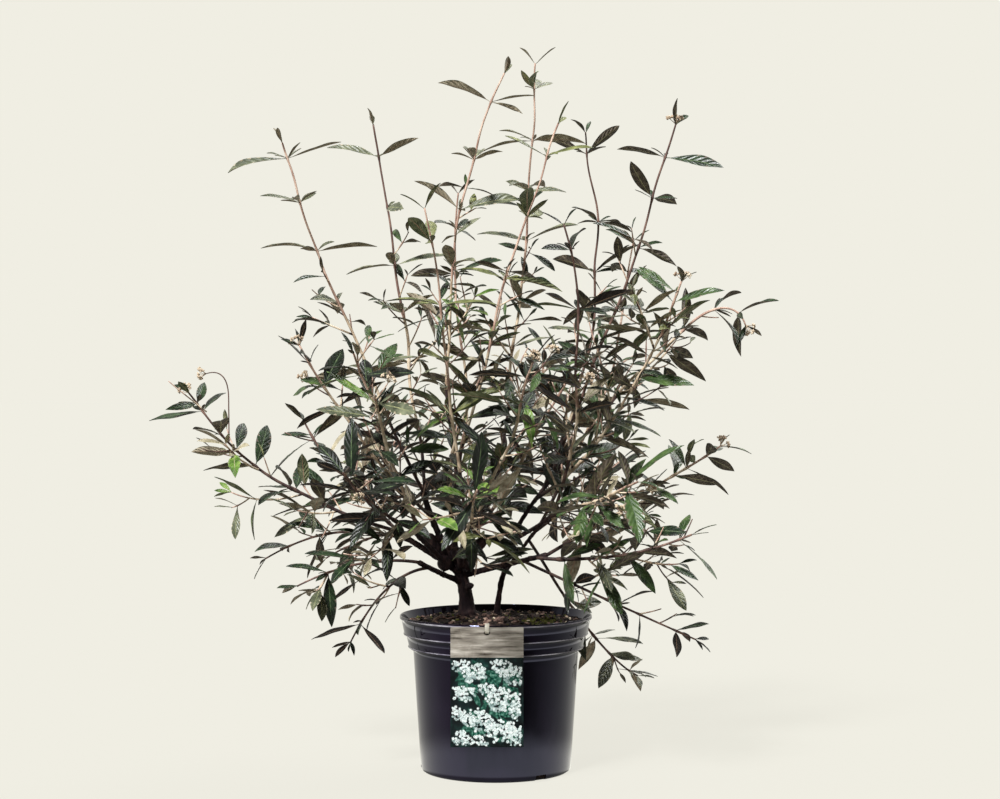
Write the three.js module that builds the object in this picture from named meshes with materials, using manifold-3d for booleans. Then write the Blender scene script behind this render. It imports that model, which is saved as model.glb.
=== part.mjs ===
// A Prague viburnum in its nursery pot: an open evergreen shrub about 1.05 m tall with its pot.
// Millimetres, +Z up, +X to the right of the shrub's front, -Y towards the viewer.
// The origin is the centre of the pot's flat underside.
import * as THREE from "three";
import Module from "manifold-3d";
import { mergeVertices } from "three/addons/utils/BufferGeometryUtils.js";

const wasm = await Module();
wasm.setup();

// Pot: a moulded nursery pot, 280 mm across its rim
const POT_HEIGHT = 225;
const RIM_RADIUS = 140;
const UPPER_BAND_HEIGHT = 28;
const LOWER_BAND_HEIGHT = 19;
const BAND_STEP = 2;
const BODY_TOP_RADIUS = 121;
const BASE_RADIUS = 109;
const POT_WALL = 2.2;
const POT_SIDES = 44;
const DRAIN_ANGLES = [-174, -54, 66]; // degrees from +X
const DRAIN_SIZE = { width: 18, depth: 14, height: 8 };

// Compost: a shallow mound that stops below the rim
const SOIL_TOP = 219;
const SOIL_EDGE = 212;
const SOIL_FLAT_RADIUS = 85;
const FIT_GAP = 0.3; // between solids that touch
const GRIDS = [0.001, 0.002, 0.004, 0.006, 0.008, 0.01, 0.013, 0.016, 0.02]; // where corners may lie in the finished meshes

// Hanging label and the strip that holds it on the rim
const LABEL = { width: 101, height: 166, thickness: 0.8, x: -12, top: 223 };
const LABEL_HOLE = { width: 9, height: 6, drop: 5 };
const STRIP = { width: 6, thickness: 1.2 };

// Stems: radii where each starts and where it ends
const FOOT = SOIL_TOP + FIT_GAP;
const ROOT_FLARE = 5;
const FLARE_LENGTH = 14;

// Each limb is one bend: from where it starts, past a point that pulls it, to its tip.
// A limb on a parent starts on the parent's middle line, at a share of its length.
const LIMBS = [
  { name: "trunk", start: [-42, 35, FOOT], via: [-42, 35, 258], tip: [-60, 36, 302], radii: [10.5, 8.5], sides: 10 },
  { name: "stem_second", start: [2, 30, FOOT], via: [2, 30, 265], tip: [30, 24, 345], radii: [4.2, 3.4], sides: 8 },
  { name: "bough_left", on: "trunk", at: 0.86, via: [-100, 32, 312], tip: [-150, 18, 345], radii: [5.4, 4] },
  { name: "bough_left_low", on: "trunk", at: 0.6, via: [-82, 0, 284], tip: [-112, -28, 302], radii: [4.4, 3.4] },
  { name: "bough_left_rising", on: "trunk", at: 0.97, via: [-90, 22, 340], tip: [-106, 8, 404], radii: [5.8, 4.2] },
  { name: "bough_centre", on: "trunk", at: 1, via: [-66, 36, 352], tip: [-58, 26, 412], radii: [6.8, 4.6] },
  { name: "bough_centre_right", on: "trunk", at: 0.94, via: [-26, 44, 348], tip: [-4, 46, 410], radii: [5.4, 4] },
  { name: "bough_front", on: "trunk", at: 0.8, via: [-52, -18, 312], tip: [-42, -62, 348], radii: [5, 3.8] },
  { name: "bough_front_left", on: "trunk", at: 0.74, via: [-95, 2, 314], tip: [-120, -48, 352], radii: [4.4, 3.6] },
  { name: "bough_back", on: "trunk", at: 0.88, via: [-40, 80, 326], tip: [-22, 114, 366], radii: [5, 3.8] },
  { name: "bough_back_left", on: "trunk", at: 0.7, via: [-92, 76, 310], tip: [-120, 102, 352], radii: [4.6, 3.6] },
  { name: "bough_right", on: "stem_second", at: 1, via: [46, 20, 385], tip: [84, 12, 428], radii: [3.4, 3] },
  { name: "bough_right_low", on: "trunk", at: 0.72, via: [4, -4, 296], tip: [74, 0, 312], radii: [4.8, 3.6] },
  { name: "bough_right_front", on: "stem_second", at: 0.92, via: [54, -10, 350], tip: [80, -46, 374], radii: [3.2, 2.8] },
  { name: "bough_right_back", on: "stem_second", at: 0.55, via: [34, 62, 312], tip: [68, 90, 350], radii: [3.2, 2.8] },
];
const LIMB_SIDES = 6;
const LIMB_STEPS = 6;

// How a mass of foliage grows. Lengths in millimetres, chances from 0 to 1.
const KINDS = {
  // last season's long upright shoots, with well spaced pairs of leaves
  wand: { radii: [2.8, 1.2], steps: 5, spacing: 84, leaf: 82, leafFrom: 0.12, twig: 95, twigFrom: 0.04, twigTo: 0.5, twigChance: 0.04 },
  // leafy side branches of the dense lower crown
  spray: { radii: [2.8, 1.3], steps: 4, spacing: 58, leaf: 88, leafFrom: 0.06, twig: 135, twigFrom: 0, twigTo: 0.8, twigChance: 0.32 },
  // low shoots that arch out or hang past the rim
  trailer: { radii: [2.4, 1.1], steps: 4, spacing: 62, leaf: 70, leafFrom: 0.22, twig: 85, twigFrom: 0.25, twigTo: 0.8, twigChance: 0.3 },
};

// The masses: each is one stem from a bough's tip, or from just behind it, with the twigs and leaves on it.
const MASSES = [
  { name: "shoot_top_left", kind: "wand", on: "bough_left_rising", at: 1, via: [-250, -45, 700], tip: [-304, -52, 908], seed: 11 },
  { name: "shoot_top_left_inner", kind: "wand", on: "bough_left_rising", at: 0.84, via: [-140, 84, 680], tip: [-180, 70, 950], seed: 12 },
  { name: "shoot_top_centre", kind: "wand", on: "bough_centre", at: 1, via: [-95, -5, 760], tip: [8, -14, 1012], seed: 14 },
  { name: "shoot_leader", kind: "wand", on: "bough_centre_right", at: 1, via: [50, 76, 740], tip: [60, 62, 1040], seed: 15 },
  { name: "shoot_crossing", kind: "wand", on: "bough_centre", at: 0.81, via: [-30, -140, 586], tip: [88, -70, 932], seed: 16 },
  { name: "shoot_front_upright", kind: "wand", on: "bough_front", at: 1, via: [-60, -170, 560], tip: [-100, -170, 800], seed: 17 },
  { name: "shoot_front_right_upright", kind: "wand", on: "bough_right_front", at: 1, via: [142, -160, 560], tip: [96, -185, 775], seed: 18 },
  { name: "shoot_back_upright", kind: "wand", on: "bough_back", at: 1, via: [-70, 230, 620], tip: [-62, 215, 862], seed: 19 },
  { name: "shoot_top_right_inner", kind: "wand", on: "bough_right", at: 0.72, via: [196, 140, 630], tip: [134, 112, 942], seed: 20 },
  { name: "shoot_top_right", kind: "wand", on: "bough_right", at: 0.89, via: [179, -30, 674], tip: [258, -24, 935], seed: 21, buds: true },
  { name: "shoot_back_right_upright", kind: "wand", on: "bough_right_back", at: 1, via: [196, 200, 540], tip: [212, 190, 785], seed: 22 },
  { name: "shoot_right_arching", kind: "wand", on: "bough_right", at: 1, via: [335, 36, 752], tip: [366, 22, 646], seed: 23, buds: true },
  { name: "foliage_left_buds", kind: "spray", on: "bough_left_rising", at: 0.66, via: [-190, -70, 460], tip: [-272, -108, 612], seed: 13, buds: true },
  { name: "foliage_left_far", kind: "spray", on: "bough_left", at: 1, via: [-340, -5, 400], tip: [-448, -14, 548], seed: 31, buds: true },
  { name: "foliage_left_mid", kind: "spray", on: "bough_left", at: 0.84, via: [-210, 60, 395], tip: [-290, 84, 508], seed: 32 },
  { name: "foliage_left_drooping", kind: "trailer", on: "bough_left", at: 0.68, via: [-230, 66, 368], tip: [-345, 76, 300], seed: 33 },
  { name: "foliage_left_low", kind: "trailer", on: "bough_left_low", at: 1, via: [-190, -90, 322], tip: [-280, -100, 276], seed: 34 },
  { name: "foliage_left_hanging", kind: "trailer", on: "bough_left_low", at: 0.76, via: [-160, -34, 290], tip: [-208, -56, 190], seed: 35 },
  { name: "foliage_front_left", kind: "spray", on: "bough_front_left", at: 1, via: [-180, -150, 390], tip: [-205, -260, 440], seed: 36 },
  { name: "foliage_front_left_upper", kind: "spray", on: "bough_front_left", at: 0.82, via: [-144, -125, 477], tip: [-190, -190, 600], seed: 37 },
  { name: "foliage_front", kind: "spray", on: "bough_front", at: 0.86, via: [-30, -170, 366], tip: [-25, -300, 420], seed: 38 },
  { name: "foliage_front_upper", kind: "spray", on: "bough_front", at: 0.69, via: [6, -83, 429], tip: [50, -215, 590], seed: 39, buds: true },
  { name: "foliage_centre", kind: "spray", on: "bough_centre", at: 0.5, via: [-80, -50, 440], tip: [-18, -80, 585], seed: 40 },
  { name: "foliage_centre_right", kind: "spray", on: "bough_centre_right", at: 0.7, via: [40, 0, 440], tip: [96, -46, 565], seed: 52 },
  { name: "foliage_front_right", kind: "spray", on: "bough_right_front", at: 0.87, via: [135, -134, 392], tip: [190, -250, 430], seed: 41 },
  { name: "foliage_right_upper", kind: "spray", on: "bough_right", at: 0.56, via: [190, -70, 490], tip: [262, -110, 705], seed: 42, buds: true },
  { name: "foliage_right_mid", kind: "spray", on: "bough_right_low", at: 1, via: [200, 30, 385], tip: [335, 48, 470], seed: 43, buds: true },
  { name: "foliage_right_low", kind: "spray", on: "bough_right_low", at: 0.88, via: [170, -60, 300], tip: [278, -66, 345], seed: 44 },
  { name: "foliage_right_straight", kind: "trailer", on: "bough_right_low", at: 0.74, via: [150, -22, 252], tip: [290, -16, 190], seed: 45 },
  { name: "foliage_right_hanging", kind: "trailer", on: "bough_right_back", at: 0.7, via: [160, 165, 140], tip: [215, 118, 118], seed: 46 },
  { name: "foliage_back_right", kind: "spray", on: "bough_right_back", at: 0.86, via: [150, 170, 395], tip: [200, 262, 445], seed: 47 },
  { name: "foliage_back", kind: "spray", on: "bough_back", at: 0.86, via: [0, 200, 400], tip: [20, 318, 455], seed: 48 },
  { name: "foliage_back_upper", kind: "spray", on: "bough_back", at: 0.72, via: [67, 138, 439], tip: [80, 230, 620], seed: 49 },
  { name: "foliage_back_left", kind: "spray", on: "bough_back_left", at: 1, via: [-170, 190, 415], tip: [-190, 290, 490], seed: 50 },
  { name: "foliage_back_left_low", kind: "trailer", on: "bough_back_left", at: 0.8, via: [-190, 150, 340], tip: [-265, 190, 290], seed: 51 },
];

// Leaves and twigs
const LEAF_WIDTH_SHARE = 0.27; // of its length
const LEAF_WIDEST_AT = 0.42;
const LEAF_THICKNESS = 1.6;
const LEAF_ROOT = -0.35; // where a leaf's root lies inside its twig, as a share of the twig's radius
const TWIG_RADII = [1.7, 1];
const TWIG_SPACING = 58;
const TWIG_SIDES = 3;
const TWIG_STEPS = 2;
const BUD_HEAD_RADIUS = 7;
const BUD_RADIUS = 4;
const BUDS_AROUND = 3;
const CLEARANCE = 1.2; // between the leaves and twigs of different masses
const OWN_OVERLAP = 2; // leaves are flatter than the round spaces that are tested, so these may overlap within a mass
const POT_CLEARANCE = 6; // the label's strip stands this far out
const LEAF_TRIES = 3;

const MATERIALS = {
  pot: new THREE.MeshStandardMaterial({ color: 0x1b1924, roughness: 0.25, metalness: 0 }),
  compost: new THREE.MeshStandardMaterial({ color: 0x2e1c17, roughness: 0.95, metalness: 0 }),
  label: new THREE.MeshStandardMaterial({ color: 0x8fb5a6, roughness: 0.35, metalness: 0 }),
  strip: new THREE.MeshStandardMaterial({ color: 0xe6dfcc, roughness: 0.45, metalness: 0 }),
  bark: new THREE.MeshStandardMaterial({ color: 0x4a3a35, roughness: 0.85, metalness: 0 }),
  foliage: new THREE.MeshStandardMaterial({ color: 0x3b4a34, roughness: 0.5, metalness: 0 }),
};

const X_AXIS = new THREE.Vector3(1, 0, 0);
const Y_AXIS = new THREE.Vector3(0, 1, 0);
const Z_AXIS = new THREE.Vector3(0, 0, 1);

// Turning geometries into solids and back

function solidFrom(geometry) {
  const bare = geometry.clone();
  bare.deleteAttribute("normal");
  bare.deleteAttribute("uv");
  const merged = mergeVertices(bare, 1e-4);
  return new wasm.Manifold(
    new wasm.Mesh({
      numProp: 3,
      vertProperties: new Float32Array(merged.attributes.position.array),
      triVerts: new Uint32Array(merged.index.array),
    }),
  );
}

// A cut leaves corners closer together than a file keeps apart, so every corner is moved to a fine grid
// and the faces that vanish are dropped. A grid that would leave a seam open is passed over for the next.
function geometryFrom(solid) {
  const { vertProperties, triVerts } = solid.getMesh();
  for (const grid of GRIDS) {
    const numbers = new Map();
    const corners = [];
    const place = [];
    for (let i = 0; i < vertProperties.length; i += 3) {
      const at = [0, 1, 2].map((k) => Math.round(vertProperties[i + k] / grid));
      const key = at.join(",");
      if (!numbers.has(key)) {
        numbers.set(key, numbers.size);
        place.push(...at.map((x) => x * grid));
      }
      corners.push(numbers.get(key));
    }
    const faces = keptFaces(Array.from(triVerts, (corner) => corners[corner]));
    if (!isClosed(faces)) continue;
    const geometry = new THREE.BufferGeometry();
    geometry.setAttribute("position", new THREE.Float32BufferAttribute(place, 3));
    geometry.setIndex(faces.flat());
    geometry.computeVertexNormals();
    return geometry;
  }
  throw new Error("no grid leaves this solid closed");
}

// Faces with three different corners, less the pairs that lie back to back
function keptFaces(index) {
  const faces = new Map();
  for (let i = 0; i < index.length; i += 3) {
    const face = index.slice(i, i + 3);
    if (new Set(face).size < 3) continue;
    const key = [...face].sort((a, b) => a - b).join(",");
    if (faces.has(key)) faces.delete(key);
    else faces.set(key, face);
  }
  return [...faces.values()];
}

function isClosed(faces) {
  const edges = new Set();
  for (const [a, b, c] of faces) {
    for (const [from, to] of [[a, b], [b, c], [c, a]]) {
      const edge = `${from} ${to}`;
      if (edges.has(edge)) return false;
      edges.add(edge);
    }
  }
  return faces.every(([a, b, c]) => edges.has(`${b} ${a}`) && edges.has(`${c} ${b}`) && edges.has(`${a} ${c}`));
}

// The largest body of a solid: scraps that a cut left are dropped
function largestBody(solid) {
  return solid.decompose().reduce((best, body) => (body.volume() > best.volume() ? body : best));
}

function joined(solids) {
  let pile = solids;
  while (pile.length > 1) {
    const next = [];
    for (let i = 0; i < pile.length; i += 2) next.push(i + 1 < pile.length ? pile[i].add(pile[i + 1]) : pile[i]);
    pile = next;
  }
  return pile[0];
}

// A steady stream of numbers from 0 to 1, the same for the same seed
function drawsFrom(seed) {
  let state = (seed * 2654435761) >>> 0;
  return () => {
    state = (Math.imul(state, 1664525) + 1013904223) >>> 0;
    return state / 4294967296;
  };
}

// A bend from start to tip with the directions across it. The directions don't flip,
// because they are measured from one axis that lies well across the chord.
function bendOf(start, via, tip) {
  const curve = new THREE.QuadraticBezierCurve3(start, via, tip);
  const chord = tip.clone().sub(start);
  const steady = Math.abs(chord.z) > 0.75 * chord.length() ? Y_AXIS : Z_AXIS;
  const frameAt = (t) => {
    const along = curve.getTangent(t);
    const side = along.clone().cross(steady).normalize();
    const up = side.clone().cross(along);
    return { at: curve.getPoint(t), along, side, up };
  };
  return { start, tip, frameAt, length: curve.getLength() };
}

// A closed tube along a bend, with a flat cut at each end. grown makes it larger all round.
function tube(bend, radiusAt, sides, steps, grown = 0) {
  const geometry = new THREE.CylinderGeometry(1, 1, 1, sides, steps);
  const place = geometry.attributes.position;
  const v = new THREE.Vector3();
  for (let i = 0; i < place.count; i++) {
    v.fromBufferAttribute(place, i);
    const t = v.y + 0.5;
    const { at, along, side, up } = bend.frameAt(t);
    const radius = radiusAt(t) + grown;
    const end = t < 1e-6 ? -grown : t > 1 - 1e-6 ? grown : 0;
    at.addScaledVector(side, v.x * radius);
    at.addScaledVector(up, v.z * radius);
    at.addScaledVector(along, end);
    place.setXYZ(i, at.x, at.y, at.z);
  }
  return solidFrom(geometry);
}

// Pot, compost and label

function latheSolid(profile) {
  const points = profile.map(([radius, height]) => new THREE.Vector2(radius, height));
  return solidFrom(new THREE.LatheGeometry(points, POT_SIDES).rotateX(Math.PI / 2));
}

function potSolid() {
  const lowerBandTop = POT_HEIGHT - UPPER_BAND_HEIGHT;
  const lowerBandFoot = lowerBandTop - LOWER_BAND_HEIGHT;
  const bandRadius = RIM_RADIUS - 7;
  const cornerRadius = 4;
  const outside = [
    [0, 0],
    [BASE_RADIUS - cornerRadius, 0],
    [BASE_RADIUS, cornerRadius],
    [BODY_TOP_RADIUS, lowerBandFoot],
    [bandRadius - 7, lowerBandFoot],
    [bandRadius - BAND_STEP, lowerBandTop],
    [bandRadius, lowerBandTop + 1.5],
    [RIM_RADIUS - 3, POT_HEIGHT - 9],
    [RIM_RADIUS, POT_HEIGHT - 3],
    [RIM_RADIUS, POT_HEIGHT],
  ];
  const inside = [
    [RIM_RADIUS - POT_WALL, POT_HEIGHT],
    [RIM_RADIUS - 3 - POT_WALL, POT_HEIGHT - 9],
    [bandRadius - POT_WALL - 1, lowerBandTop + 1.5],
    [bandRadius - 7 - POT_WALL - 1, lowerBandFoot + POT_WALL],
    [BODY_TOP_RADIUS - POT_WALL, lowerBandFoot - 4],
    [BASE_RADIUS - POT_WALL, POT_WALL],
    [0, POT_WALL],
  ];
  let pot = latheSolid([...outside, ...inside]);
  for (const angle of DRAIN_ANGLES) {
    const notch = new THREE.BoxGeometry(DRAIN_SIZE.depth, DRAIN_SIZE.width, DRAIN_SIZE.height * 2);
    notch.translate(BASE_RADIUS, 0, 0).rotateZ(THREE.MathUtils.degToRad(angle));
    pot = pot.subtract(solidFrom(notch));
  }
  return pot;
}

function compostSolid() {
  const lowerBandFoot = POT_HEIGHT - UPPER_BAND_HEIGHT - LOWER_BAND_HEIGHT;
  const wallRadius = (height) => {
    const low = BASE_RADIUS - POT_WALL;
    const high = BODY_TOP_RADIUS - POT_WALL;
    return low + ((high - low) * (height - POT_WALL)) / (lowerBandFoot - 4 - POT_WALL);
  };
  const clear = FIT_GAP + 0.3; // the faceted pot wall runs a little inside its true circle
  return latheSolid([
    [0, POT_WALL + FIT_GAP],
    [wallRadius(POT_WALL) - clear, POT_WALL + FIT_GAP],
    [wallRadius(lowerBandFoot - 4) - clear, lowerBandFoot - 4],
    [RIM_RADIUS - 7 - 7 - POT_WALL - 1 - clear, lowerBandFoot + POT_WALL + 1],
    [RIM_RADIUS - 7 - POT_WALL - 1 - clear, SOIL_EDGE - 12],
    [RIM_RADIUS - 6 - POT_WALL - 1 - clear, SOIL_EDGE],
    [SOIL_FLAT_RADIUS, SOIL_TOP],
    [0, SOIL_TOP],
  ]);
}

const labelY = -(RIM_RADIUS + FIT_GAP + LABEL.thickness / 2);
const holeZ = LABEL.top - LABEL_HOLE.drop - LABEL_HOLE.height / 2;

function labelSolid() {
  const card = new THREE.Shape();
  const half = LABEL.width / 2;
  card.moveTo(-half, -LABEL.height).lineTo(half, -LABEL.height).lineTo(half, 0).lineTo(-half, 0);
  const hole = new THREE.Path();
  hole.absellipse(0, -LABEL_HOLE.drop - LABEL_HOLE.height / 2, LABEL_HOLE.width / 2, LABEL_HOLE.height / 2, 0, 2 * Math.PI);
  card.holes.push(hole);
  const plate = new THREE.ExtrudeGeometry(card, { depth: LABEL.thickness, bevelEnabled: false, curveSegments: 8 });
  plate.translate(0, 0, -LABEL.thickness / 2).rotateX(Math.PI / 2);
  return solidFrom(plate.translate(LABEL.x, labelY, LABEL.top));
}

// The strip's side view: out of the compost, over the rim, down in front of the label and back through its hole
function stripSolid() {
  const front = labelY - LABEL.thickness / 2 - FIT_GAP - STRIP.thickness / 2;
  const over = POT_HEIGHT + FIT_GAP + STRIP.thickness / 2;
  const middle = new THREE.CatmullRomCurve3(
    [
      [-112, SOIL_TOP - 3.4],
      [-121, POT_HEIGHT - 1],
      [-130, over + 0.5],
      [-138, over + 0.4],
      [front - 0.6, POT_HEIGHT - 1.5],
      [front - 0.2, holeZ + 3],
      [front + 0.6, holeZ + 0.3],
      [-139, holeZ - 0.6],
    ].map(([y, z]) => new THREE.Vector3(y, z, 0)),
  );
  const steps = 22;
  const edge = (sign) =>
    Array.from({ length: steps + 1 }, (_, i) => {
      const along = middle.getTangentAt(i / steps);
      const at = middle.getPointAt(i / steps);
      const out = (sign * STRIP.thickness) / 2;
      return new THREE.Vector2(at.x - along.y * out, at.y + along.x * out);
    });
  const outline = new THREE.Shape([...edge(1), ...edge(-1).reverse()]);
  const ribbon = new THREE.ExtrudeGeometry(outline, { depth: STRIP.width, bevelEnabled: false });
  // the outline's x is the part's Y and its y is the part's Z
  ribbon.rotateY(Math.PI / 2).rotateX(Math.PI / 2);
  return solidFrom(ribbon.translate(LABEL.x - STRIP.width / 2, 0, 0));
}

// Limbs: each is cut clear of the limbs made before it

function limbBends() {
  const bends = new Map();
  for (const limb of LIMBS) {
    const start = limb.on ? bends.get(limb.on).frameAt(limb.at).at : new THREE.Vector3(...limb.start);
    bends.set(limb.name, bendOf(start, new THREE.Vector3(...limb.via), new THREE.Vector3(...limb.tip)));
  }
  return bends;
}

function limbRadius(limb, bend) {
  const [thick, thin] = limb.radii;
  const flare = limb.on ? 0 : (ROOT_FLARE * thick) / 10;
  return (t) => thick + (thin - thick) * t + flare * Math.exp((-t * bend.length) / FLARE_LENGTH);
}

// Where things are: every limb, twig and leaf is kept as short tapering capsules

const taken = [];

function gapBetween(p, q) {
  const d1 = p.b.clone().sub(p.a);
  const d2 = q.b.clone().sub(q.a);
  const r = p.a.clone().sub(q.a);
  const a = d1.dot(d1);
  const e = d2.dot(d2);
  const f = d2.dot(r);
  const c = d1.dot(r);
  const b = d1.dot(d2);
  const spread = a * e - b * b;
  const clamp = (x) => Math.min(1, Math.max(0, x));
  let s = spread > 1e-9 ? clamp((b * f - c * e) / spread) : 0;
  const t = clamp((b * s + f) / e);
  s = clamp((b * t - c) / a);
  const near = p.a.clone().addScaledVector(d1, s);
  const far = q.a.clone().addScaledVector(d2, t);
  return near.distanceTo(far) - (p.ra + (p.rb - p.ra) * s) - (q.ra + (q.rb - q.ra) * t);
}

// Clear of the ground, and of the pot and its label: above the rim or well outside it
function isClearOfPot({ a, b, ra, rb }) {
  return [0, 0.25, 0.5, 0.75, 1].every((share) => {
    const at = a.clone().lerp(b, share);
    const radius = ra + (rb - ra) * share;
    const isHigh = at.z - radius > POT_HEIGHT + POT_CLEARANCE;
    const isOutside = Math.hypot(at.x, at.y) - radius > RIM_RADIUS + POT_CLEARANCE;
    return isHigh || (isOutside && at.z - radius > POT_CLEARANCE);
  });
}

function isClear(capsules, owner, parent) {
  if (!capsules.every(isClearOfPot)) return false;
  for (const p of capsules) {
    for (const q of taken) {
      const own = q.owner === owner;
      if (own && (p.stalk || q.stalk || q.piece === parent)) continue;
      if (gapBetween(p, q) < (own ? -OWN_OVERLAP : CLEARANCE)) return false;
    }
  }
  return true;
}

function tubeCapsules(bend, radiusAt, steps) {
  return Array.from({ length: steps }, (_, i) => {
    const [from, to] = [i / steps, (i + 1) / steps];
    return { a: bend.frameAt(from).at, b: bend.frameAt(to).at, ra: radiusAt(from), rb: radiusAt(to) };
  });
}

function take(capsules, owner, piece) {
  for (const capsule of capsules) taken.push({ ...capsule, owner, piece });
}

// The growth rule. Pairs of leaves stand opposite each other, each pair a quarter turn from the last,
// and a side twig may rise out of the angle above a leaf.

function turned(frame, angle) {
  return frame.side.clone().multiplyScalar(Math.cos(angle)).addScaledVector(frame.up, Math.sin(angle));
}

// A leaf leaves its stem outwards and forwards, lies down towards the level and hangs by its own weight
function leafPose(frame, angle, rootRadius, length, draws) {
  const { forward, lift, size, roll, hang } = draws;
  const out = turned(frame, angle);
  const heading = out.clone().addScaledVector(frame.along, 0.25 + 0.55 * forward);
  heading.z = heading.z * 0.65 + (lift - 0.5) * 0.7;
  heading.normalize();
  const face = Z_AXIS.clone().addScaledVector(heading, -heading.z);
  if (face.length() < 0.3) face.addScaledVector(out, -0.5).addScaledVector(heading, 0.5 * out.dot(heading));
  face.normalize().applyAxisAngle(heading, (roll - 0.5) * 1.7);
  return {
    root: frame.at.clone().addScaledVector(out, rootRadius * LEAF_ROOT),
    heading,
    face,
    length: length * (0.72 + 0.5 * size),
    droop: 0.04 + 0.2 * hang,
  };
}

function leafPoint(leaf, along, across, above) {
  const over = new THREE.Vector3().crossVectors(leaf.face, leaf.heading);
  return leaf.root
    .clone()
    .addScaledVector(leaf.heading, along * leaf.length)
    .addScaledVector(over, across)
    .addScaledVector(leaf.face, above - leaf.droop * leaf.length * along * along);
}

function leafCapsules(leaf) {
  const root = leafPoint(leaf, 0, 0, 0);
  const middle = leafPoint(leaf, LEAF_WIDEST_AT, 0, 0);
  const tip = leafPoint(leaf, 1, 0, 0);
  const half = (leaf.length * LEAF_WIDTH_SHARE) / 2;
  const stalk = root.clone().lerp(middle, 0.35);
  return [
    { a: root, b: stalk, ra: 0.5, rb: 0.35 * half, stalk: true },
    { a: stalk, b: middle, ra: 0.35 * half, rb: half },
    { a: middle, b: tip, ra: half, rb: 0.5 },
  ];
}

// A slim bipyramid: its root, its tip, the two edges and a keel below the midrib
function leafSolid(leaf) {
  const half = (leaf.length * LEAF_WIDTH_SHARE) / 2;
  const geometry = new THREE.SphereGeometry(1, 3, 2);
  const place = geometry.attributes.position;
  for (let i = 0; i < place.count; i++) {
    const along = place.getY(i) > 0.5 ? 1 : place.getY(i) < -0.5 ? 0 : LEAF_WIDEST_AT;
    const isEnd = along !== LEAF_WIDEST_AT;
    const across = isEnd ? 0 : (place.getZ(i) / Math.sin(Math.PI / 3)) * half;
    const above = isEnd ? 0 : (Math.sign(place.getX(i)) * LEAF_THICKNESS) / 2;
    const { x, y, z } = leafPoint(leaf, along, across, above);
    place.setXYZ(i, x, y, z);
  }
  return solidFrom(geometry);
}

function leafTries(frame, angle, rootRadius, length, draw, closing = false) {
  return Array.from({ length: LEAF_TRIES }, () => {
    const draws = { forward: draw(), lift: draw(), size: draw(), roll: draw(), hang: draw() };
    if (closing) {
      draws.forward += 1.6;
      draws.lift = 0.5 + 0.5 * draws.lift;
    }
    return leafPose(frame, angle, rootRadius, length, draws);
  });
}

// Pairs of leaves along one bend, from a share of its length to its tip, and a closing pair that points forward.
// Each leaf comes as a few tries: the first that has room is kept.
function leavesAlong(bend, piece, radiusAt, spacing, from, length, draw) {
  const leaves = [];
  const nodes = Math.max(1, Math.round((bend.length * (1 - from)) / spacing));
  const firstTurn = draw() * Math.PI;
  for (let i = 0; i < nodes; i++) {
    const t = from + ((1 - from) * (i + 0.35 + 0.3 * draw())) / nodes;
    const frame = bend.frameAt(t);
    for (const half of [0, Math.PI]) {
      const angle = firstTurn + (i * Math.PI) / 2 + half + (draw() - 0.5) * 0.5;
      leaves.push({ piece, tries: leafTries(frame, angle, radiusAt(t), length, draw) });
    }
  }
  const end = bend.frameAt(1 - 2 / bend.length);
  for (const half of [0, Math.PI]) {
    const angle = firstTurn + (nodes * Math.PI) / 2 + half;
    leaves.push({ piece, tries: leafTries(end, angle, radiusAt(1), length * 0.62, draw, true) });
  }
  return leaves;
}

function twigsAlong(stem, kind, draw) {
  const twigs = [];
  const nodes = Math.max(1, Math.round(stem.length / kind.spacing));
  const firstTurn = draw() * Math.PI;
  for (let i = 0; i < nodes; i++) {
    const t = (i + 0.2 + 0.3 * draw()) / nodes;
    const frame = stem.frameAt(t);
    for (const half of [0, Math.PI]) {
      const angle = firstTurn + (i * Math.PI) / 2 + half + (draw() - 0.5) * 0.6;
      const chance = draw();
      const reach = draw();
      const rise = draw();
      if (t < kind.twigFrom || t > kind.twigTo || chance > kind.twigChance) continue;
      const length = kind.twig * (0.6 + 0.6 * reach) * (1 - 0.45 * t);
      const heading = turned(frame, angle).addScaledVector(frame.along, 0.9).normalize();
      const via = frame.at.clone().addScaledVector(heading, length * 0.5);
      const tip = frame.at.clone().addScaledVector(heading, length * 0.92);
      tip.z += length * (0.34 * rise - 0.04);
      twigs.push(bendOf(frame.at, via, tip));
    }
  }
  return twigs;
}

// The buds for next spring: a domed head on the tip of its stem
function budHeadSolids(bend) {
  const { at, along, side, up } = bend.frameAt(1);
  const turn = new THREE.Matrix4().makeBasis(side, up.clone(), along.clone().negate().normalize());
  turn.setPosition(at);
  if (turn.determinant() < 0) turn.makeBasis(side, up.clone().negate(), along.clone().negate()).setPosition(at);
  const head = new THREE.OctahedronGeometry(BUD_HEAD_RADIUS, 0).scale(1, 1, 0.7).applyMatrix4(turn);
  const solids = [solidFrom(head)];
  for (let i = 0; i < BUDS_AROUND; i++) {
    const bud = new THREE.OctahedronGeometry(BUD_RADIUS, 0);
    bud.translate(BUD_HEAD_RADIUS - 1.5, 0, -1).rotateZ((i * 2 * Math.PI) / BUDS_AROUND + 0.4).applyMatrix4(turn);
    solids.push(solidFrom(bud));
  }
  return solids;
}

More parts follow.
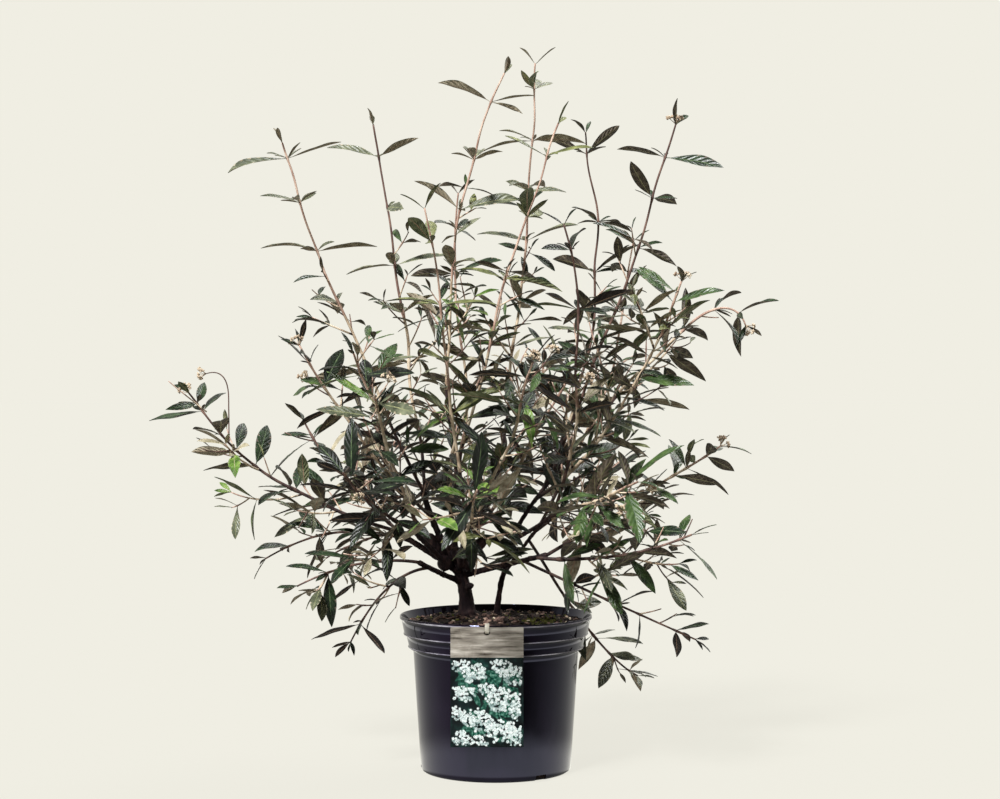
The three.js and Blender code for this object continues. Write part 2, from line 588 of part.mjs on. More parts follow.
function massParts(mass, limbs) {
  const kind = KINDS[mass.kind];
  const draw = drawsFrom(mass.seed);
  const start = limbs.get(mass.on).frameAt(mass.at).at;
  const stem = bendOf(start, new THREE.Vector3(...mass.via), new THREE.Vector3(...mass.tip));
  const stemRadius = (t) => kind.radii[0] + (kind.radii[1] - kind.radii[0]) * t;
  const twigRadius = (t) => TWIG_RADII[0] + (TWIG_RADII[1] - TWIG_RADII[0]) * t;
  const leaves = leavesAlong(stem, mass.name, stemRadius, kind.spacing, kind.leafFrom, kind.leaf, draw);
  const twigs = twigsAlong(stem, kind, draw).map((bend, i) => {
    const piece = `${mass.name}.${i}`;
    return { bend, piece, leaves: leavesAlong(bend, piece, twigRadius, TWIG_SPACING, 0.3, kind.leaf * 0.92, draw) };
  });
  return { mass, stem, stemRadius, twigRadius, leaves, twigs };
}

// Build everything

const plant = new THREE.Group();
plant.name = "potted_prague_viburnum";

function addNode(name, solid, material) {
  const mesh = new THREE.Mesh(geometryFrom(solid), material);
  mesh.name = name;
  plant.add(mesh);
}

addNode("pot", potSolid(), MATERIALS.pot);
addNode("compost", compostSolid(), MATERIALS.compost);
addNode("label", labelSolid(), MATERIALS.label);
addNode("label_strip", stripSolid(), MATERIALS.strip);

const limbs = limbBends();
const grownLimbs = [];
for (const limb of LIMBS) {
  const bend = limbs.get(limb.name);
  const radiusAt = limbRadius(limb, bend);
  const sides = limb.sides ?? LIMB_SIDES;
  let solid = tube(bend, radiusAt, sides, LIMB_STEPS);
  for (const grown of grownLimbs) solid = solid.subtract(grown);
  addNode(limb.name, largestBody(solid), MATERIALS.bark);
  grownLimbs.push(tube(bend, radiusAt, sides, LIMB_STEPS, FIT_GAP));
  take(tubeCapsules(bend, radiusAt, LIMB_STEPS), "limbs", limb.name);
}

const masses = MASSES.map((mass) => massParts(mass, limbs));
for (const { mass, stem, stemRadius } of masses) {
  take(tubeCapsules(stem, stemRadius, 10), mass.name, mass.name);
}
for (const part of masses) {
  part.twigs = part.twigs.filter(({ bend, piece }) => {
    const capsules = tubeCapsules(bend, part.twigRadius, 3);
    const kept = isClear(capsules, part.mass.name, part.mass.name);
    if (kept) take(capsules, part.mass.name, piece);
    return kept;
  });
}
// The masses take turns, one leaf each, so that none crowds out its neighbours
const queues = masses.map(({ leaves, twigs }) => [...leaves, ...twigs.flatMap((twig) => twig.leaves)]);
const longest = Math.max(...queues.map((queue) => queue.length));
for (const part of masses) part.kept = [];
for (let i = 0; i < longest; i++) {
  masses.forEach((part, m) => {
    if (i >= queues[m].length) return;
    const { piece, tries } = queues[m][i];
    const leaf = tries.find((pose) => isClear(leafCapsules(pose), part.mass.name, piece));
    if (!leaf) return;
    take(leafCapsules(leaf), part.mass.name, `${piece} leaf ${i}`);
    part.kept.push(leaf);
  });
}
for (const { mass, stem, stemRadius, twigRadius, twigs, kept } of masses) {
  const solids = [tube(stem, stemRadius, TWIG_SIDES, KINDS[mass.kind].steps)];
  for (const { bend } of twigs) solids.push(tube(bend, twigRadius, TWIG_SIDES, TWIG_STEPS));
  for (const leaf of kept) solids.push(leafSolid(leaf));
  if (mass.buds) solids.push(...budHeadSolids(stem));
  let solid = joined(solids);
  for (const grown of grownLimbs) solid = solid.subtract(grown);
  addNode(mass.name, largestBody(solid), MATERIALS.foliage);
}

export default plant;
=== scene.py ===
# %% [markdown]
# # A potted Prague viburnum
#
# This lesson dresses the plain solids of a shrub in a nursery pot. The solids come in as a
# fixed frame, in metres, and every piece below is placed by the same sizes as they were.

# %% Load the frame
import math

import bmesh
import bpy
import numpy as np
from mathutils import Matrix, Vector, noise


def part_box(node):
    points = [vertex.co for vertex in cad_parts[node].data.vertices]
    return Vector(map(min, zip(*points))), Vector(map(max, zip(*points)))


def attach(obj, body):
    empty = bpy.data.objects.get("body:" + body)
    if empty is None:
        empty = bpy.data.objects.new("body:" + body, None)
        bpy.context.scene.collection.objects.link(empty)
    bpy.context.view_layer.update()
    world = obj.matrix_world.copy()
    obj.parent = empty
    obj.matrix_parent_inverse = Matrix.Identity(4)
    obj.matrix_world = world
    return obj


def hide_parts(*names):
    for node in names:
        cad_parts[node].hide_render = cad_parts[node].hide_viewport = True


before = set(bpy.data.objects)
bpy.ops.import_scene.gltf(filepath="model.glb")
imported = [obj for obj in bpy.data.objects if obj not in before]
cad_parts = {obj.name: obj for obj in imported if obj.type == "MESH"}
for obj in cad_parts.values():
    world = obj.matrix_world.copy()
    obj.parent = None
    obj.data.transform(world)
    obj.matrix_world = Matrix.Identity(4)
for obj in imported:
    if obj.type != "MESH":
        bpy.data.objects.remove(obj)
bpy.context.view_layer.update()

# %% [markdown]
# ## Camera, floor and light
#
# The shrub was photographed from about 2.75 m, with the camera level at 0.54 m and turned
# neither up nor down. The scene has one pale floor. Small near lamps would put hot spots on
# the glossy leaves and the pot, so the lamps are broad and far off, and the studio round them
# gives the long pale reflections.

# %% Camera
CAMERA_DISTANCE, CAMERA_HEIGHT, CAMERA_SHIFT = 2.75, 0.538, 0.006
FOCAL_PIXELS, IMAGE_WIDTH = 1886, 1000

camera = bpy.data.objects.new("camera", bpy.data.cameras.new("camera"))
camera.data.sensor_width = 36
camera.data.lens = FOCAL_PIXELS / IMAGE_WIDTH * camera.data.sensor_width
camera.location = (CAMERA_SHIFT, -CAMERA_DISTANCE, CAMERA_HEIGHT)
camera.rotation_euler = (math.radians(90), 0, 0)
bpy.context.collection.objects.link(camera)
bpy.context.scene.camera = camera
print("lens:", round(camera.data.lens, 1), "mm")


# %% Colours: screen values from 0 to 255 become Blender's linear colours
def tint(red, green, blue):
    def linear(x):
        x /= 255
        return x / 12.92 if x <= 0.04045 else ((x + 0.055) / 1.055) ** 2.4

    return (linear(red), linear(green), linear(blue), 1)


# %% Node helpers: put a value or a link in a socket, and add a node with all that it needs
def put(tree, socket, value):
    if isinstance(value, bpy.types.NodeSocket):
        tree.links.new(value, socket)
    else:
        socket.default_value = value


def add_node(tree, kind, inputs=None, **settings):
    node = tree.nodes.new("ShaderNode" + kind)
    for key, value in settings.items():
        setattr(node, key, value)
    for key, value in (inputs or {}).items():
        put(tree, node.inputs[key], value)
    return node


def math_step(tree, operation, *values):
    """One step of arithmetic. Each value is a number or the output of another node."""
    return add_node(tree, "Math", dict(enumerate(values)), operation=operation).outputs[0]


def ranged(tree, value, source, target):
    """Carry a value over from one range, its two ends, to another."""
    ends = dict(zip(("From Min", "From Max", "To Min", "To Max"), source + target))
    return add_node(tree, "MapRange", {"Value": value, **ends}).outputs["Result"]


# %% World: a pale backdrop, and a studio that is bright behind the shrub and darker before it
BACKDROP = tint(240, 238, 227)
STUDIO_FRONT, STUDIO_BACK = 0.06, 0.84  # brightness against the backdrop
TABLE_NEAR, TABLE_BELOW = 1.7, 0.42  # the same, for the pale table just before the pot and under it
WALL_FALL, WALL_TILT = 0.178, 0.131  # how steeply the pot's wall mirrors the table's front edge
STUDIO_MEAN = (STUDIO_FRONT + STUDIO_BACK) / 2

bpy.context.scene.view_settings.view_transform = "Standard"
world = bpy.data.worlds.new("studio")
bpy.context.scene.world = world
world.use_nodes = True
sky = world.node_tree
sky.nodes.clear()
toward = add_node(sky, "SeparateXYZ", {0: add_node(sky, "TexCoord").outputs["Generated"]}).outputs
depth = ranged(sky, toward["Y"], (-0.7, 0.7), (STUDIO_FRONT, STUDIO_BACK))
turned = math_step(sky, "SQRT", math_step(sky, "MULTIPLY_ADD", toward["Y"], -0.5, 0.5))
wall_edge = math_step(sky, "MULTIPLY_ADD", turned, WALL_TILT, WALL_FALL)
above_edge = math_step(sky, "ADD", toward["Z"], wall_edge)
low = ranged(sky, above_edge, (-0.006, 0.006), (1, 0))
table = ranged(sky, above_edge, (-0.12, -0.05), (TABLE_BELOW, TABLE_NEAR))
brightness = add_node(sky, "Mix", {"Factor": low, "A": depth, "B": table}).outputs["Result"]
studio = add_node(sky, "Background", {"Color": BACKDROP, "Strength": brightness}).outputs[0]
backdrop = add_node(sky, "Background", {"Color": BACKDROP}).outputs[0]
seen = add_node(sky, "LightPath").outputs["Is Camera Ray"]
shown = add_node(sky, "MixShader", {0: seen, 1: studio, 2: backdrop}).outputs[0]
add_node(sky, "OutputWorld", {"Surface": shown})
print("studio nodes:", len(sky.nodes))


# %% Broad soft lamps, far off, so that the whole floor is lit alike
def broad_lamp(name, turn_degrees, height_degrees, strength, softness):
    lamp = bpy.data.lights.new(name, "SUN")
    lamp.energy, lamp.angle = strength, math.radians(softness)
    holder = bpy.data.objects.new(name, lamp)
    holder.rotation_euler = (math.radians(90 - height_degrees), 0, math.radians(turn_degrees))
    bpy.context.collection.objects.link(holder)
    print(name, strength, "at", turn_degrees, height_degrees)
    return strength * math.sin(math.radians(height_degrees)) / math.pi


lamp_light = broad_lamp("key", -30, 46, 5.0, 10) + broad_lamp("rim", 140, 48, 1.5, 30)

# %% Floor: it glows a little, so that its shadow stays faint, and is as bright as the backdrop
FLOOR_GLOW, FLOOR_REACH = 0.88, 400
bpy.ops.mesh.primitive_circle_add(vertices=64, radius=FLOOR_REACH, fill_type="NGON")
floor = bpy.context.object
floor.name = "floor"
floor_material = bpy.data.materials.new("floor")
floor_material.use_nodes = True
floor_color = [c * (1 - FLOOR_GLOW) / (STUDIO_MEAN * c + lamp_light) for c in BACKDROP[:3]]
floor_look = {
    "Base Color": floor_color + [1], "Emission Color": BACKDROP, "Emission Strength": FLOOR_GLOW,
    "Roughness": 1, "Specular IOR Level": 0,
}
for socket, value in floor_look.items():
    floor_material.node_tree.nodes["Principled BSDF"].inputs[socket].default_value = value
floor.data.materials.append(floor_material)
floor.visible_diffuse = floor.visible_glossy = False  # the studio's low part lights the shrub from below
print("floor colour:", [round(c, 3) for c in floor_color])

# %% [markdown]
# ## The plan of the shrub
#
# The solids were grown from this plan: each limb is one bend, and each mass of foliage is one
# stem that leaves a limb and carries twigs and leaves. Leaves could be strewn over the solids
# instead, but they would sit on no twig. So the same plan and the same rule are written again
# here: every leaf of the solids returns at its own place, finely made, and the finer twigs
# that were left out of the solids grow between them.

# %% Limbs, in millimetres: start or parent, the point that pulls the bend, tip, radii
FOOT = 219.3
LIMBS = {
    "trunk": (None, (-42, 35, FOOT), (-42, 35, 258), (-60, 36, 302), (10.5, 8.5)),
    "stem_second": (None, (2, 30, FOOT), (2, 30, 265), (30, 24, 345), (4.2, 3.4)),
    "bough_left": ("trunk", 0.86, (-100, 32, 312), (-150, 18, 345), (5.4, 4)),
    "bough_left_low": ("trunk", 0.6, (-82, 0, 284), (-112, -28, 302), (4.4, 3.4)),
    "bough_left_rising": ("trunk", 0.97, (-90, 22, 340), (-106, 8, 404), (5.8, 4.2)),
    "bough_centre": ("trunk", 1, (-66, 36, 352), (-58, 26, 412), (6.8, 4.6)),
    "bough_centre_right": ("trunk", 0.94, (-26, 44, 348), (-4, 46, 410), (5.4, 4)),
    "bough_front": ("trunk", 0.8, (-52, -18, 312), (-42, -62, 348), (5, 3.8)),
    "bough_front_left": ("trunk", 0.74, (-95, 2, 314), (-120, -48, 352), (4.4, 3.6)),
    "bough_back": ("trunk", 0.88, (-40, 80, 326), (-22, 114, 366), (5, 3.8)),
    "bough_back_left": ("trunk", 0.7, (-92, 76, 310), (-120, 102, 352), (4.6, 3.6)),
    "bough_right": ("stem_second", 1, (46, 20, 385), (84, 12, 428), (3.4, 3)),
    "bough_right_low": ("trunk", 0.72, (4, -4, 296), (74, 0, 312), (4.8, 3.6)),
    "bough_right_front": ("stem_second", 0.92, (54, -10, 350), (80, -46, 374), (3.2, 2.8)),
    "bough_right_back": ("stem_second", 0.55, (34, 62, 312), (68, 90, 350), (3.2, 2.8)),
}
ROOT_FLARE, FLARE_LENGTH = 5, 14
print("limbs:", len(LIMBS))

# %% Kinds of mass: radii of the stem, and how leaves and twigs stand along it
STEM_RADII = {"wand": (2.8, 1.2), "spray": (2.8, 1.3), "trailer": (2.4, 1.1)}
KINDS = {
    "wand": dict(spacing=84, leaf=82, leaf_from=0.12, twig=95, twig_from=0.04, twig_to=0.5, chance=0.04),
    "spray": dict(spacing=58, leaf=88, leaf_from=0.06, twig=135, twig_from=0, twig_to=0.8, chance=0.32),
    "trailer": dict(spacing=62, leaf=70, leaf_from=0.22, twig=85, twig_from=0.25, twig_to=0.8, chance=0.3),
}

# %% The masses: kind, limb, share of its length, via, tip, seed; and those whose tip has buds
MASSES = {
    "shoot_top_left": ("wand", "bough_left_rising", 1, (-250, -45, 700), (-304, -52, 908), 11),
    "shoot_top_left_inner": ("wand", "bough_left_rising", 0.84, (-140, 84, 680), (-180, 70, 950), 12),
    "shoot_top_centre": ("wand", "bough_centre", 1, (-95, -5, 760), (8, -14, 1012), 14),
    "shoot_leader": ("wand", "bough_centre_right", 1, (50, 76, 740), (60, 62, 1040), 15),
    "shoot_crossing": ("wand", "bough_centre", 0.81, (-30, -140, 586), (88, -70, 932), 16),
    "shoot_front_upright": ("wand", "bough_front", 1, (-60, -170, 560), (-100, -170, 800), 17),
    "shoot_front_right_upright": ("wand", "bough_right_front", 1, (142, -160, 560), (96, -185, 775), 18),
    "shoot_back_upright": ("wand", "bough_back", 1, (-70, 230, 620), (-62, 215, 862), 19),
    "shoot_top_right_inner": ("wand", "bough_right", 0.72, (196, 140, 630), (134, 112, 942), 20),
    "shoot_top_right": ("wand", "bough_right", 0.89, (179, -30, 674), (258, -24, 935), 21),
    "shoot_back_right_upright": ("wand", "bough_right_back", 1, (196, 200, 540), (212, 190, 785), 22),
    "shoot_right_arching": ("wand", "bough_right", 1, (335, 36, 752), (366, 22, 646), 23),
    "foliage_left_buds": ("spray", "bough_left_rising", 0.66, (-190, -70, 460), (-272, -108, 612), 13),
    "foliage_left_far": ("spray", "bough_left", 1, (-340, -5, 400), (-448, -14, 548), 31),
    "foliage_left_mid": ("spray", "bough_left", 0.84, (-210, 60, 395), (-290, 84, 508), 32),
    "foliage_left_drooping": ("trailer", "bough_left", 0.68, (-230, 66, 368), (-345, 76, 300), 33),
    "foliage_left_low": ("trailer", "bough_left_low", 1, (-190, -90, 322), (-280, -100, 276), 34),
    "foliage_left_hanging": ("trailer", "bough_left_low", 0.76, (-160, -34, 290), (-208, -56, 190), 35),
    "foliage_front_left": ("spray", "bough_front_left", 1, (-180, -150, 390), (-205, -260, 440), 36),
    "foliage_front_left_upper": ("spray", "bough_front_left", 0.82, (-144, -125, 477), (-190, -190, 600), 37),
    "foliage_front": ("spray", "bough_front", 0.86, (-30, -170, 366), (-25, -300, 420), 38),
    "foliage_front_upper": ("spray", "bough_front", 0.69, (6, -83, 429), (50, -215, 590), 39),
    "foliage_centre": ("spray", "bough_centre", 0.5, (-80, -50, 440), (-18, -80, 585), 40),
    "foliage_centre_right": ("spray", "bough_centre_right", 0.7, (40, 0, 440), (96, -46, 565), 52),
    "foliage_front_right": ("spray", "bough_right_front", 0.87, (135, -134, 392), (190, -250, 430), 41),
    "foliage_right_upper": ("spray", "bough_right", 0.56, (190, -70, 490), (262, -110, 705), 42),
    "foliage_right_mid": ("spray", "bough_right_low", 1, (200, 30, 385), (335, 48, 470), 43),
    "foliage_right_low": ("spray", "bough_right_low", 0.88, (170, -60, 300), (278, -66, 345), 44),
    "foliage_right_straight": ("trailer", "bough_right_low", 0.74, (150, -22, 252), (290, -16, 190), 45),
    "foliage_right_hanging": ("trailer", "bough_right_back", 0.7, (160, 165, 140), (215, 118, 118), 46),
    "foliage_back_right": ("spray", "bough_right_back", 0.86, (150, 170, 395), (200, 262, 445), 47),
    "foliage_back": ("spray", "bough_back", 0.86, (0, 200, 400), (20, 318, 455), 48),
    "foliage_back_upper": ("spray", "bough_back", 0.72, (67, 138, 439), (80, 230, 620), 49),
    "foliage_back_left": ("spray", "bough_back_left", 1, (-170, 190, 415), (-190, 290, 490), 50),
    "foliage_back_left_low": ("trailer", "bough_back_left", 0.8, (-190, 150, 340), (-265, 190, 290), 51),
}
BUDDED = {
    "shoot_top_right", "shoot_right_arching", "foliage_left_buds", "foliage_left_far",
    "foliage_front_upper", "foliage_right_upper", "foliage_right_mid",
}
print("masses:", len(MASSES), "with buds:", len(BUDDED))

# %% [markdown]
# ## The growth rule
#
# The real shrub sets its leaves in pairs, one each side of the stem, and each pair is a quarter
# turn from the last. A side twig rises out of the angle above a leaf. Placing each by hand
# would take weeks, so a rule does it. Every choice comes from a steady stream of numbers, so
# the shrub grows the same each time, and a twig or leaf that has no room is left out.


# %% A steady stream of numbers from 0 to 1
def draws_from(seed):
    state = (seed * 2654435761) % 2**32

    def draw():
        nonlocal state
        state = (state * 1664525 + 1013904223) % 2**32
        return state / 2**32

    return draw


# %% A bend, with the directions along and across it
def unit(v):
    return v / np.linalg.norm(v)


class Bend:
    def __init__(self, start, via, tip):
        self.points = [np.array(p, float) for p in (start, via, tip)]
        chord = self.points[2] - self.points[0]
        self.steady = np.array((0.0, 1, 0) if abs(chord[2]) > 0.75 * np.linalg.norm(chord) else (0.0, 0, 1))
        places = np.array([self.place(i / 200) for i in range(201)])
        self.length = np.linalg.norm(np.diff(places, axis=0), axis=1).sum()

    def place(self, t):
        a, b, c = self.points
        return (1 - t) ** 2 * a + 2 * (1 - t) * t * b + t**2 * c

    def frame(self, t):
        low, high = max(0, t - 1e-4), min(1, t + 1e-4)
        along = unit(self.place(high) - self.place(low))
        side = unit(np.cross(along, self.steady))
        return self.place(t), along, side, np.cross(side, along)


# %% The limbs as bends
bends = {}
for name, (parent, start, via, tip, radii) in LIMBS.items():
    bends[name] = Bend(start if parent is None else bends[parent].place(start), via, tip)


def limb_radius(name):
    thick, thin = LIMBS[name][4]
    flare = ROOT_FLARE * thick / 10 if LIMBS[name][0] is None else 0
    length = bends[name].length
    return lambda t: thick + (thin - thick) * t + flare * math.exp(-t * length / FLARE_LENGTH)


print("trunk length:", round(bends["trunk"].length), "mm")

# %% What is taken: short tapering rounds, with their owner and piece
FIRST_ROOM, FINER_ROOM = (1.2, 2), (0.4, 3.5)  # gap to other masses, and overlap within one
RIM_RADIUS, POT_HEIGHT, POT_CLEARANCE = 140, 225, 6
PARALLEL = 1e-9
X, Y, Z = np.eye(3)


class Taken:
    """A row is one round: its start, its end and its two radii. One call tests all rows at once."""

    def __init__(self):
        self.rows = np.zeros((4096, 8))
        self.marks = np.zeros((4096, 3), int)  # owner, piece, stalk
        self.count = 0

    def add(self, rounds, owner, piece):
        for row, stalk in rounds:
            if self.count == len(self.rows):
                self.rows = np.vstack((self.rows, np.zeros_like(self.rows)))
                self.marks = np.vstack((self.marks, np.zeros_like(self.marks)))
            self.rows[self.count] = row
            self.marks[self.count] = owner, piece, stalk
            self.count += 1

    def gaps(self, row):
        """The gap to each round that is taken, at shares s and t of the two, where they are nearest."""
        others = self.rows[: self.count]
        start, end, thick, thin = row[:3], row[3:6], row[6], row[7]
        along, theirs, offset = end - start, others[:, 3:6] - others[:, :3], start - others[:, :3]
        square, their_square, crossed = along @ along, (theirs * theirs).sum(1), theirs @ along
        on_own, on_theirs = offset @ along, (theirs * offset).sum(1)
        spread = square * their_square - crossed * crossed
        skew = spread > PARALLEL
        s = np.clip((crossed * on_theirs - on_own * their_square) / np.where(skew, spread, 1), 0, 1)
        s = np.where(skew, s, 0)
        t = np.clip((crossed * s + on_theirs) / their_square, 0, 1)
        s = np.clip((crossed * t - on_own) / square, 0, 1)
        apart = np.linalg.norm(offset + s[:, None] * along - t[:, None] * theirs, axis=1)
        return apart - (thick + (thin - thick) * s) - (others[:, 6] + (others[:, 7] - others[:, 6]) * t)


def is_clear_of_pot(row):
    for share in (0, 0.25, 0.5, 0.75, 1):
        at = row[:3] + (row[3:6] - row[:3]) * share
        radius = row[6] + (row[7] - row[6]) * share
        high = at[2] - radius > POT_HEIGHT + POT_CLEARANCE
        outside = math.hypot(at[0], at[1]) - radius > RIM_RADIUS + POT_CLEARANCE
        if not (high or (outside and at[2] - radius > POT_CLEARANCE)):
            return False
    return True


def is_clear(taken, rounds, owner, parent, room):
    if not all(is_clear_of_pot(row) for row, _ in rounds):
        return False
    owners, pieces, stalks = taken.marks[: taken.count].T
    own = owners == owner
    gap, overlap = room
    for row, stalk in rounds:
        gaps = taken.gaps(row)
        skipped = own & ((pieces == parent) | (stalks == 1) | bool(stalk))
        if np.any(~skipped & (gaps < np.where(own, -overlap, gap))):
            return False
    return True


def bend_rounds(bend, radius_at, steps):
    ts = [i / steps for i in range(steps + 1)]
    return [
        (np.concatenate((bend.place(s), bend.place(t), (radius_at(s), radius_at(t)))), 0)
        for s, t in zip(ts, ts[1:])
    ]


# %% A leaf's place: it leaves its stem outwards and forwards, lies down and hangs a little
LEAF_WIDTH_SHARE, LEAF_WIDEST_AT, LEAF_STALK_AT, LEAF_END = 0.27, 0.42, 0.35, 0.5
LEAF_ROOT, FLATTENED, LIFT, ROLL = -0.35, 0.65, 0.7, 1.7
UPRIGHT_BELOW, UPRIGHT_TURN = 0.3, 0.5  # an upright leaf turns its face to the stem
FORWARD, DROOP, LENGTH_VARIES = (0.25, 0.55), (0.04, 0.2), (0.72, 0.5)  # the least, and what a draw adds


def varied(spread, drawn):
    least, more = spread
    return least + more * drawn


def leaf_pose(spot, angle, root_radius, length, draws):
    at, along, side, up = spot
    forward, lift, size, roll, hang = draws
    out = side * math.cos(angle) + up * math.sin(angle)
    heading = out + along * varied(FORWARD, forward)
    heading[2] = heading[2] * FLATTENED + (lift - 0.5) * LIFT
    heading = unit(heading)
    face = Z - heading * heading[2]
    if np.linalg.norm(face) < UPRIGHT_BELOW:
        face = face - out * UPRIGHT_TURN + heading * (UPRIGHT_TURN * (out @ heading))
    face = unit(face)
    turn = (roll - 0.5) * ROLL
    face = face * math.cos(turn) + np.cross(heading, face) * math.sin(turn)
    return dict(
        root=at + out * (root_radius * LEAF_ROOT), heading=heading, face=face,
        length=length * varied(LENGTH_VARIES, size), droop=varied(DROOP, hang),
    )


def leaf_rounds(leaf):
    def middle(t):
        drop = leaf["droop"] * leaf["length"] * t * t
        return leaf["root"] + leaf["heading"] * (t * leaf["length"]) - leaf["face"] * drop

    root, widest, tip = middle(0), middle(LEAF_WIDEST_AT), middle(1)
    half = leaf["length"] * LEAF_WIDTH_SHARE / 2
    stalk = root + (widest - root) * LEAF_STALK_AT
    return [
        (np.concatenate((root, stalk, (LEAF_END, LEAF_STALK_AT * half))), 1),
        (np.concatenate((stalk, widest, (LEAF_STALK_AT * half, half))), 0),
        (np.concatenate((widest, tip, (half, LEAF_END))), 0),
    ]


# %% Pairs of leaves along a bend; the last pair closes forwards over the tip
LEAF_TRIES = 3
PAIR_PLACE, PAIR_PLACE_VARIES, PAIR_TURN_VARIES = 0.35, 0.3, 0.5
CLOSING_FORWARD, CLOSING_SIZE, CLOSING_INSET = 1.6, 0.62, 2  # the pair that closes a stem


def leaf_tries(spot, angle, root_radius, length, draw, closing=False):
    tries = []
    for _ in range(LEAF_TRIES):
        forward, lift, size, roll, hang = (draw() for _ in range(5))
        if closing:
            forward, lift = forward + CLOSING_FORWARD, 0.5 + 0.5 * lift
        tries.append(leaf_pose(spot, angle, root_radius, length, (forward, lift, size, roll, hang)))
    return tries


def leaves_along(bend, piece, radius_at, spacing, start, length, draw):
    leaves = []
    nodes = max(1, math.floor(bend.length * (1 - start) / spacing + 0.5))
    first_turn = draw() * math.pi
    for i in range(nodes):
        t = start + (1 - start) * (i + PAIR_PLACE + PAIR_PLACE_VARIES * draw()) / nodes
        spot = bend.frame(t)
        for half in (0, math.pi):
            angle = first_turn + i * math.pi / 2 + half + (draw() - 0.5) * PAIR_TURN_VARIES
            leaves.append((piece, leaf_tries(spot, angle, radius_at(t), length, draw), t))
    spot = bend.frame(1 - CLOSING_INSET / bend.length)
    for half in (0, math.pi):
        angle = first_turn + nodes * math.pi / 2 + half
        leaves.append((piece, leaf_tries(spot, angle, radius_at(1), length * CLOSING_SIZE, draw, True), 1))
    return leaves


# %% Twigs along a stem, in pairs too; each rises and shortens towards the tip
TWIG_PLACE, TWIG_PLACE_VARIES, TWIG_TURN_VARIES = 0.2, 0.3, 0.6
TWIG_LENGTH, TWIG_SHORTENS, TWIG_FORWARD = (0.6, 0.6), 0.45, 0.9
TWIG_REACH, TWIG_RISE = 0.92, (-0.04, 0.34)


def twigs_along(stem, kind, draw):
    twigs = []
    nodes = max(1, math.floor(stem.length / kind["spacing"] + 0.5))
    first_turn = draw() * math.pi
    for i in range(nodes):
        t = (i + TWIG_PLACE + TWIG_PLACE_VARIES * draw()) / nodes
        at, along, side, up = stem.frame(t)
        for half in (0, math.pi):
            angle = first_turn + i * math.pi / 2 + half + (draw() - 0.5) * TWIG_TURN_VARIES
            chance, reach, rise = draw(), draw(), draw()
            if t < kind["twig_from"] or t > kind["twig_to"] or chance > kind["chance"]:
                continue
            length = kind["twig"] * varied(TWIG_LENGTH, reach) * (1 - TWIG_SHORTENS * t)
            heading = unit(side * math.cos(angle) + up * math.sin(angle) + along * TWIG_FORWARD)
            tip = at + heading * (length * TWIG_REACH) + Z * (length * varied(TWIG_RISE, rise))
            twigs.append(Bend(at, at + heading * (length * 0.5), tip))
    return twigs


# %% Grow the shrub's first order, the same as the solids
def tapering(radii):
    return lambda t: radii[0] + (radii[1] - radii[0]) * t


TWIG_SPACING, TWIG_START, TWIG_LEAF = 58, 0.3, 0.92
twig_radius = tapering((1.7, 1.0))
taken = Taken()
for name, bend in bends.items():
    taken.add(bend_rounds(bend, limb_radius(name), 6), -1, -1)

masses = []
for owner, (name, (kind_name, limb, share, via, tip, seed)) in enumerate(MASSES.items()):
    kind, draw = KINDS[kind_name], draws_from(seed)
    stem = Bend(bends[limb].place(share), via, tip)
    radius_at, piece, leaf = tapering(STEM_RADII[kind_name]), owner * 1000, kind["leaf"]
    queue = leaves_along(stem, piece, radius_at, kind["spacing"], kind["leaf_from"], leaf, draw)
    twigs = [(piece + 1 + i, bend) for i, bend in enumerate(twigs_along(stem, kind, draw))]
    leaf *= TWIG_LEAF
    queues = [leaves_along(bend, p, twig_radius, TWIG_SPACING, TWIG_START, leaf, draw) for p, bend in twigs]
    masses.append(dict(
        name=name, owner=owner, kind_name=kind_name, stem=stem, piece=piece,
        radius=radius_at, queue=queue, twigs=twigs, queues=queues, leaves=[],
    ))
    taken.add(bend_rounds(stem, radius_at, 10), owner, piece)
print("stems:", len(masses), "twigs planned:", sum(len(m["twigs"]) for m in masses))


# %% Keep the twigs that have room, then let the masses take turns with their leaves
for mass in masses:
    kept = []
    for (piece, bend), leaves in zip(mass["twigs"], mass["queues"]):
        rounds = bend_rounds(bend, twig_radius, 3)
        if is_clear(taken, rounds, mass["owner"], mass["piece"], FIRST_ROOM):
            taken.add(rounds, mass["owner"], piece)
            kept.append((piece, bend))
            mass["queue"] += leaves
    mass["twigs"] = kept


def settle_leaves(masses, room):
    for i in range(max(len(mass["queue"]) for mass in masses)):
        for mass in masses:
            if i >= len(mass["queue"]):
                continue
            piece, tries, t = mass["queue"][i]
            for leaf in tries:
                rounds = leaf_rounds(leaf)
                if is_clear(taken, rounds, mass["owner"], piece, room):
                    taken.add(rounds, mass["owner"], piece + 100 + i)
                    mass["leaves"].append(dict(leaf, piece=piece, t=t))
                    break


settle_leaves(masses, FIRST_ROOM)
print("twigs:", sum(len(m["twigs"]) for m in masses), "leaves:", sum(len(m["leaves"]) for m in masses))

# %% [markdown]
# ## Finer twigs and leaves
#
# The solids carry only as many leaves as their file may hold, so they are sparse and large.
# The real crown is fuller low down, and its long shoots stay open above. Scattering leaves in
# the crown at random would fill its gaps of sky. Each mass therefore grows on by the same rule,
# with short twigs and smaller leaves, but only inside the space that its own solid reaches.

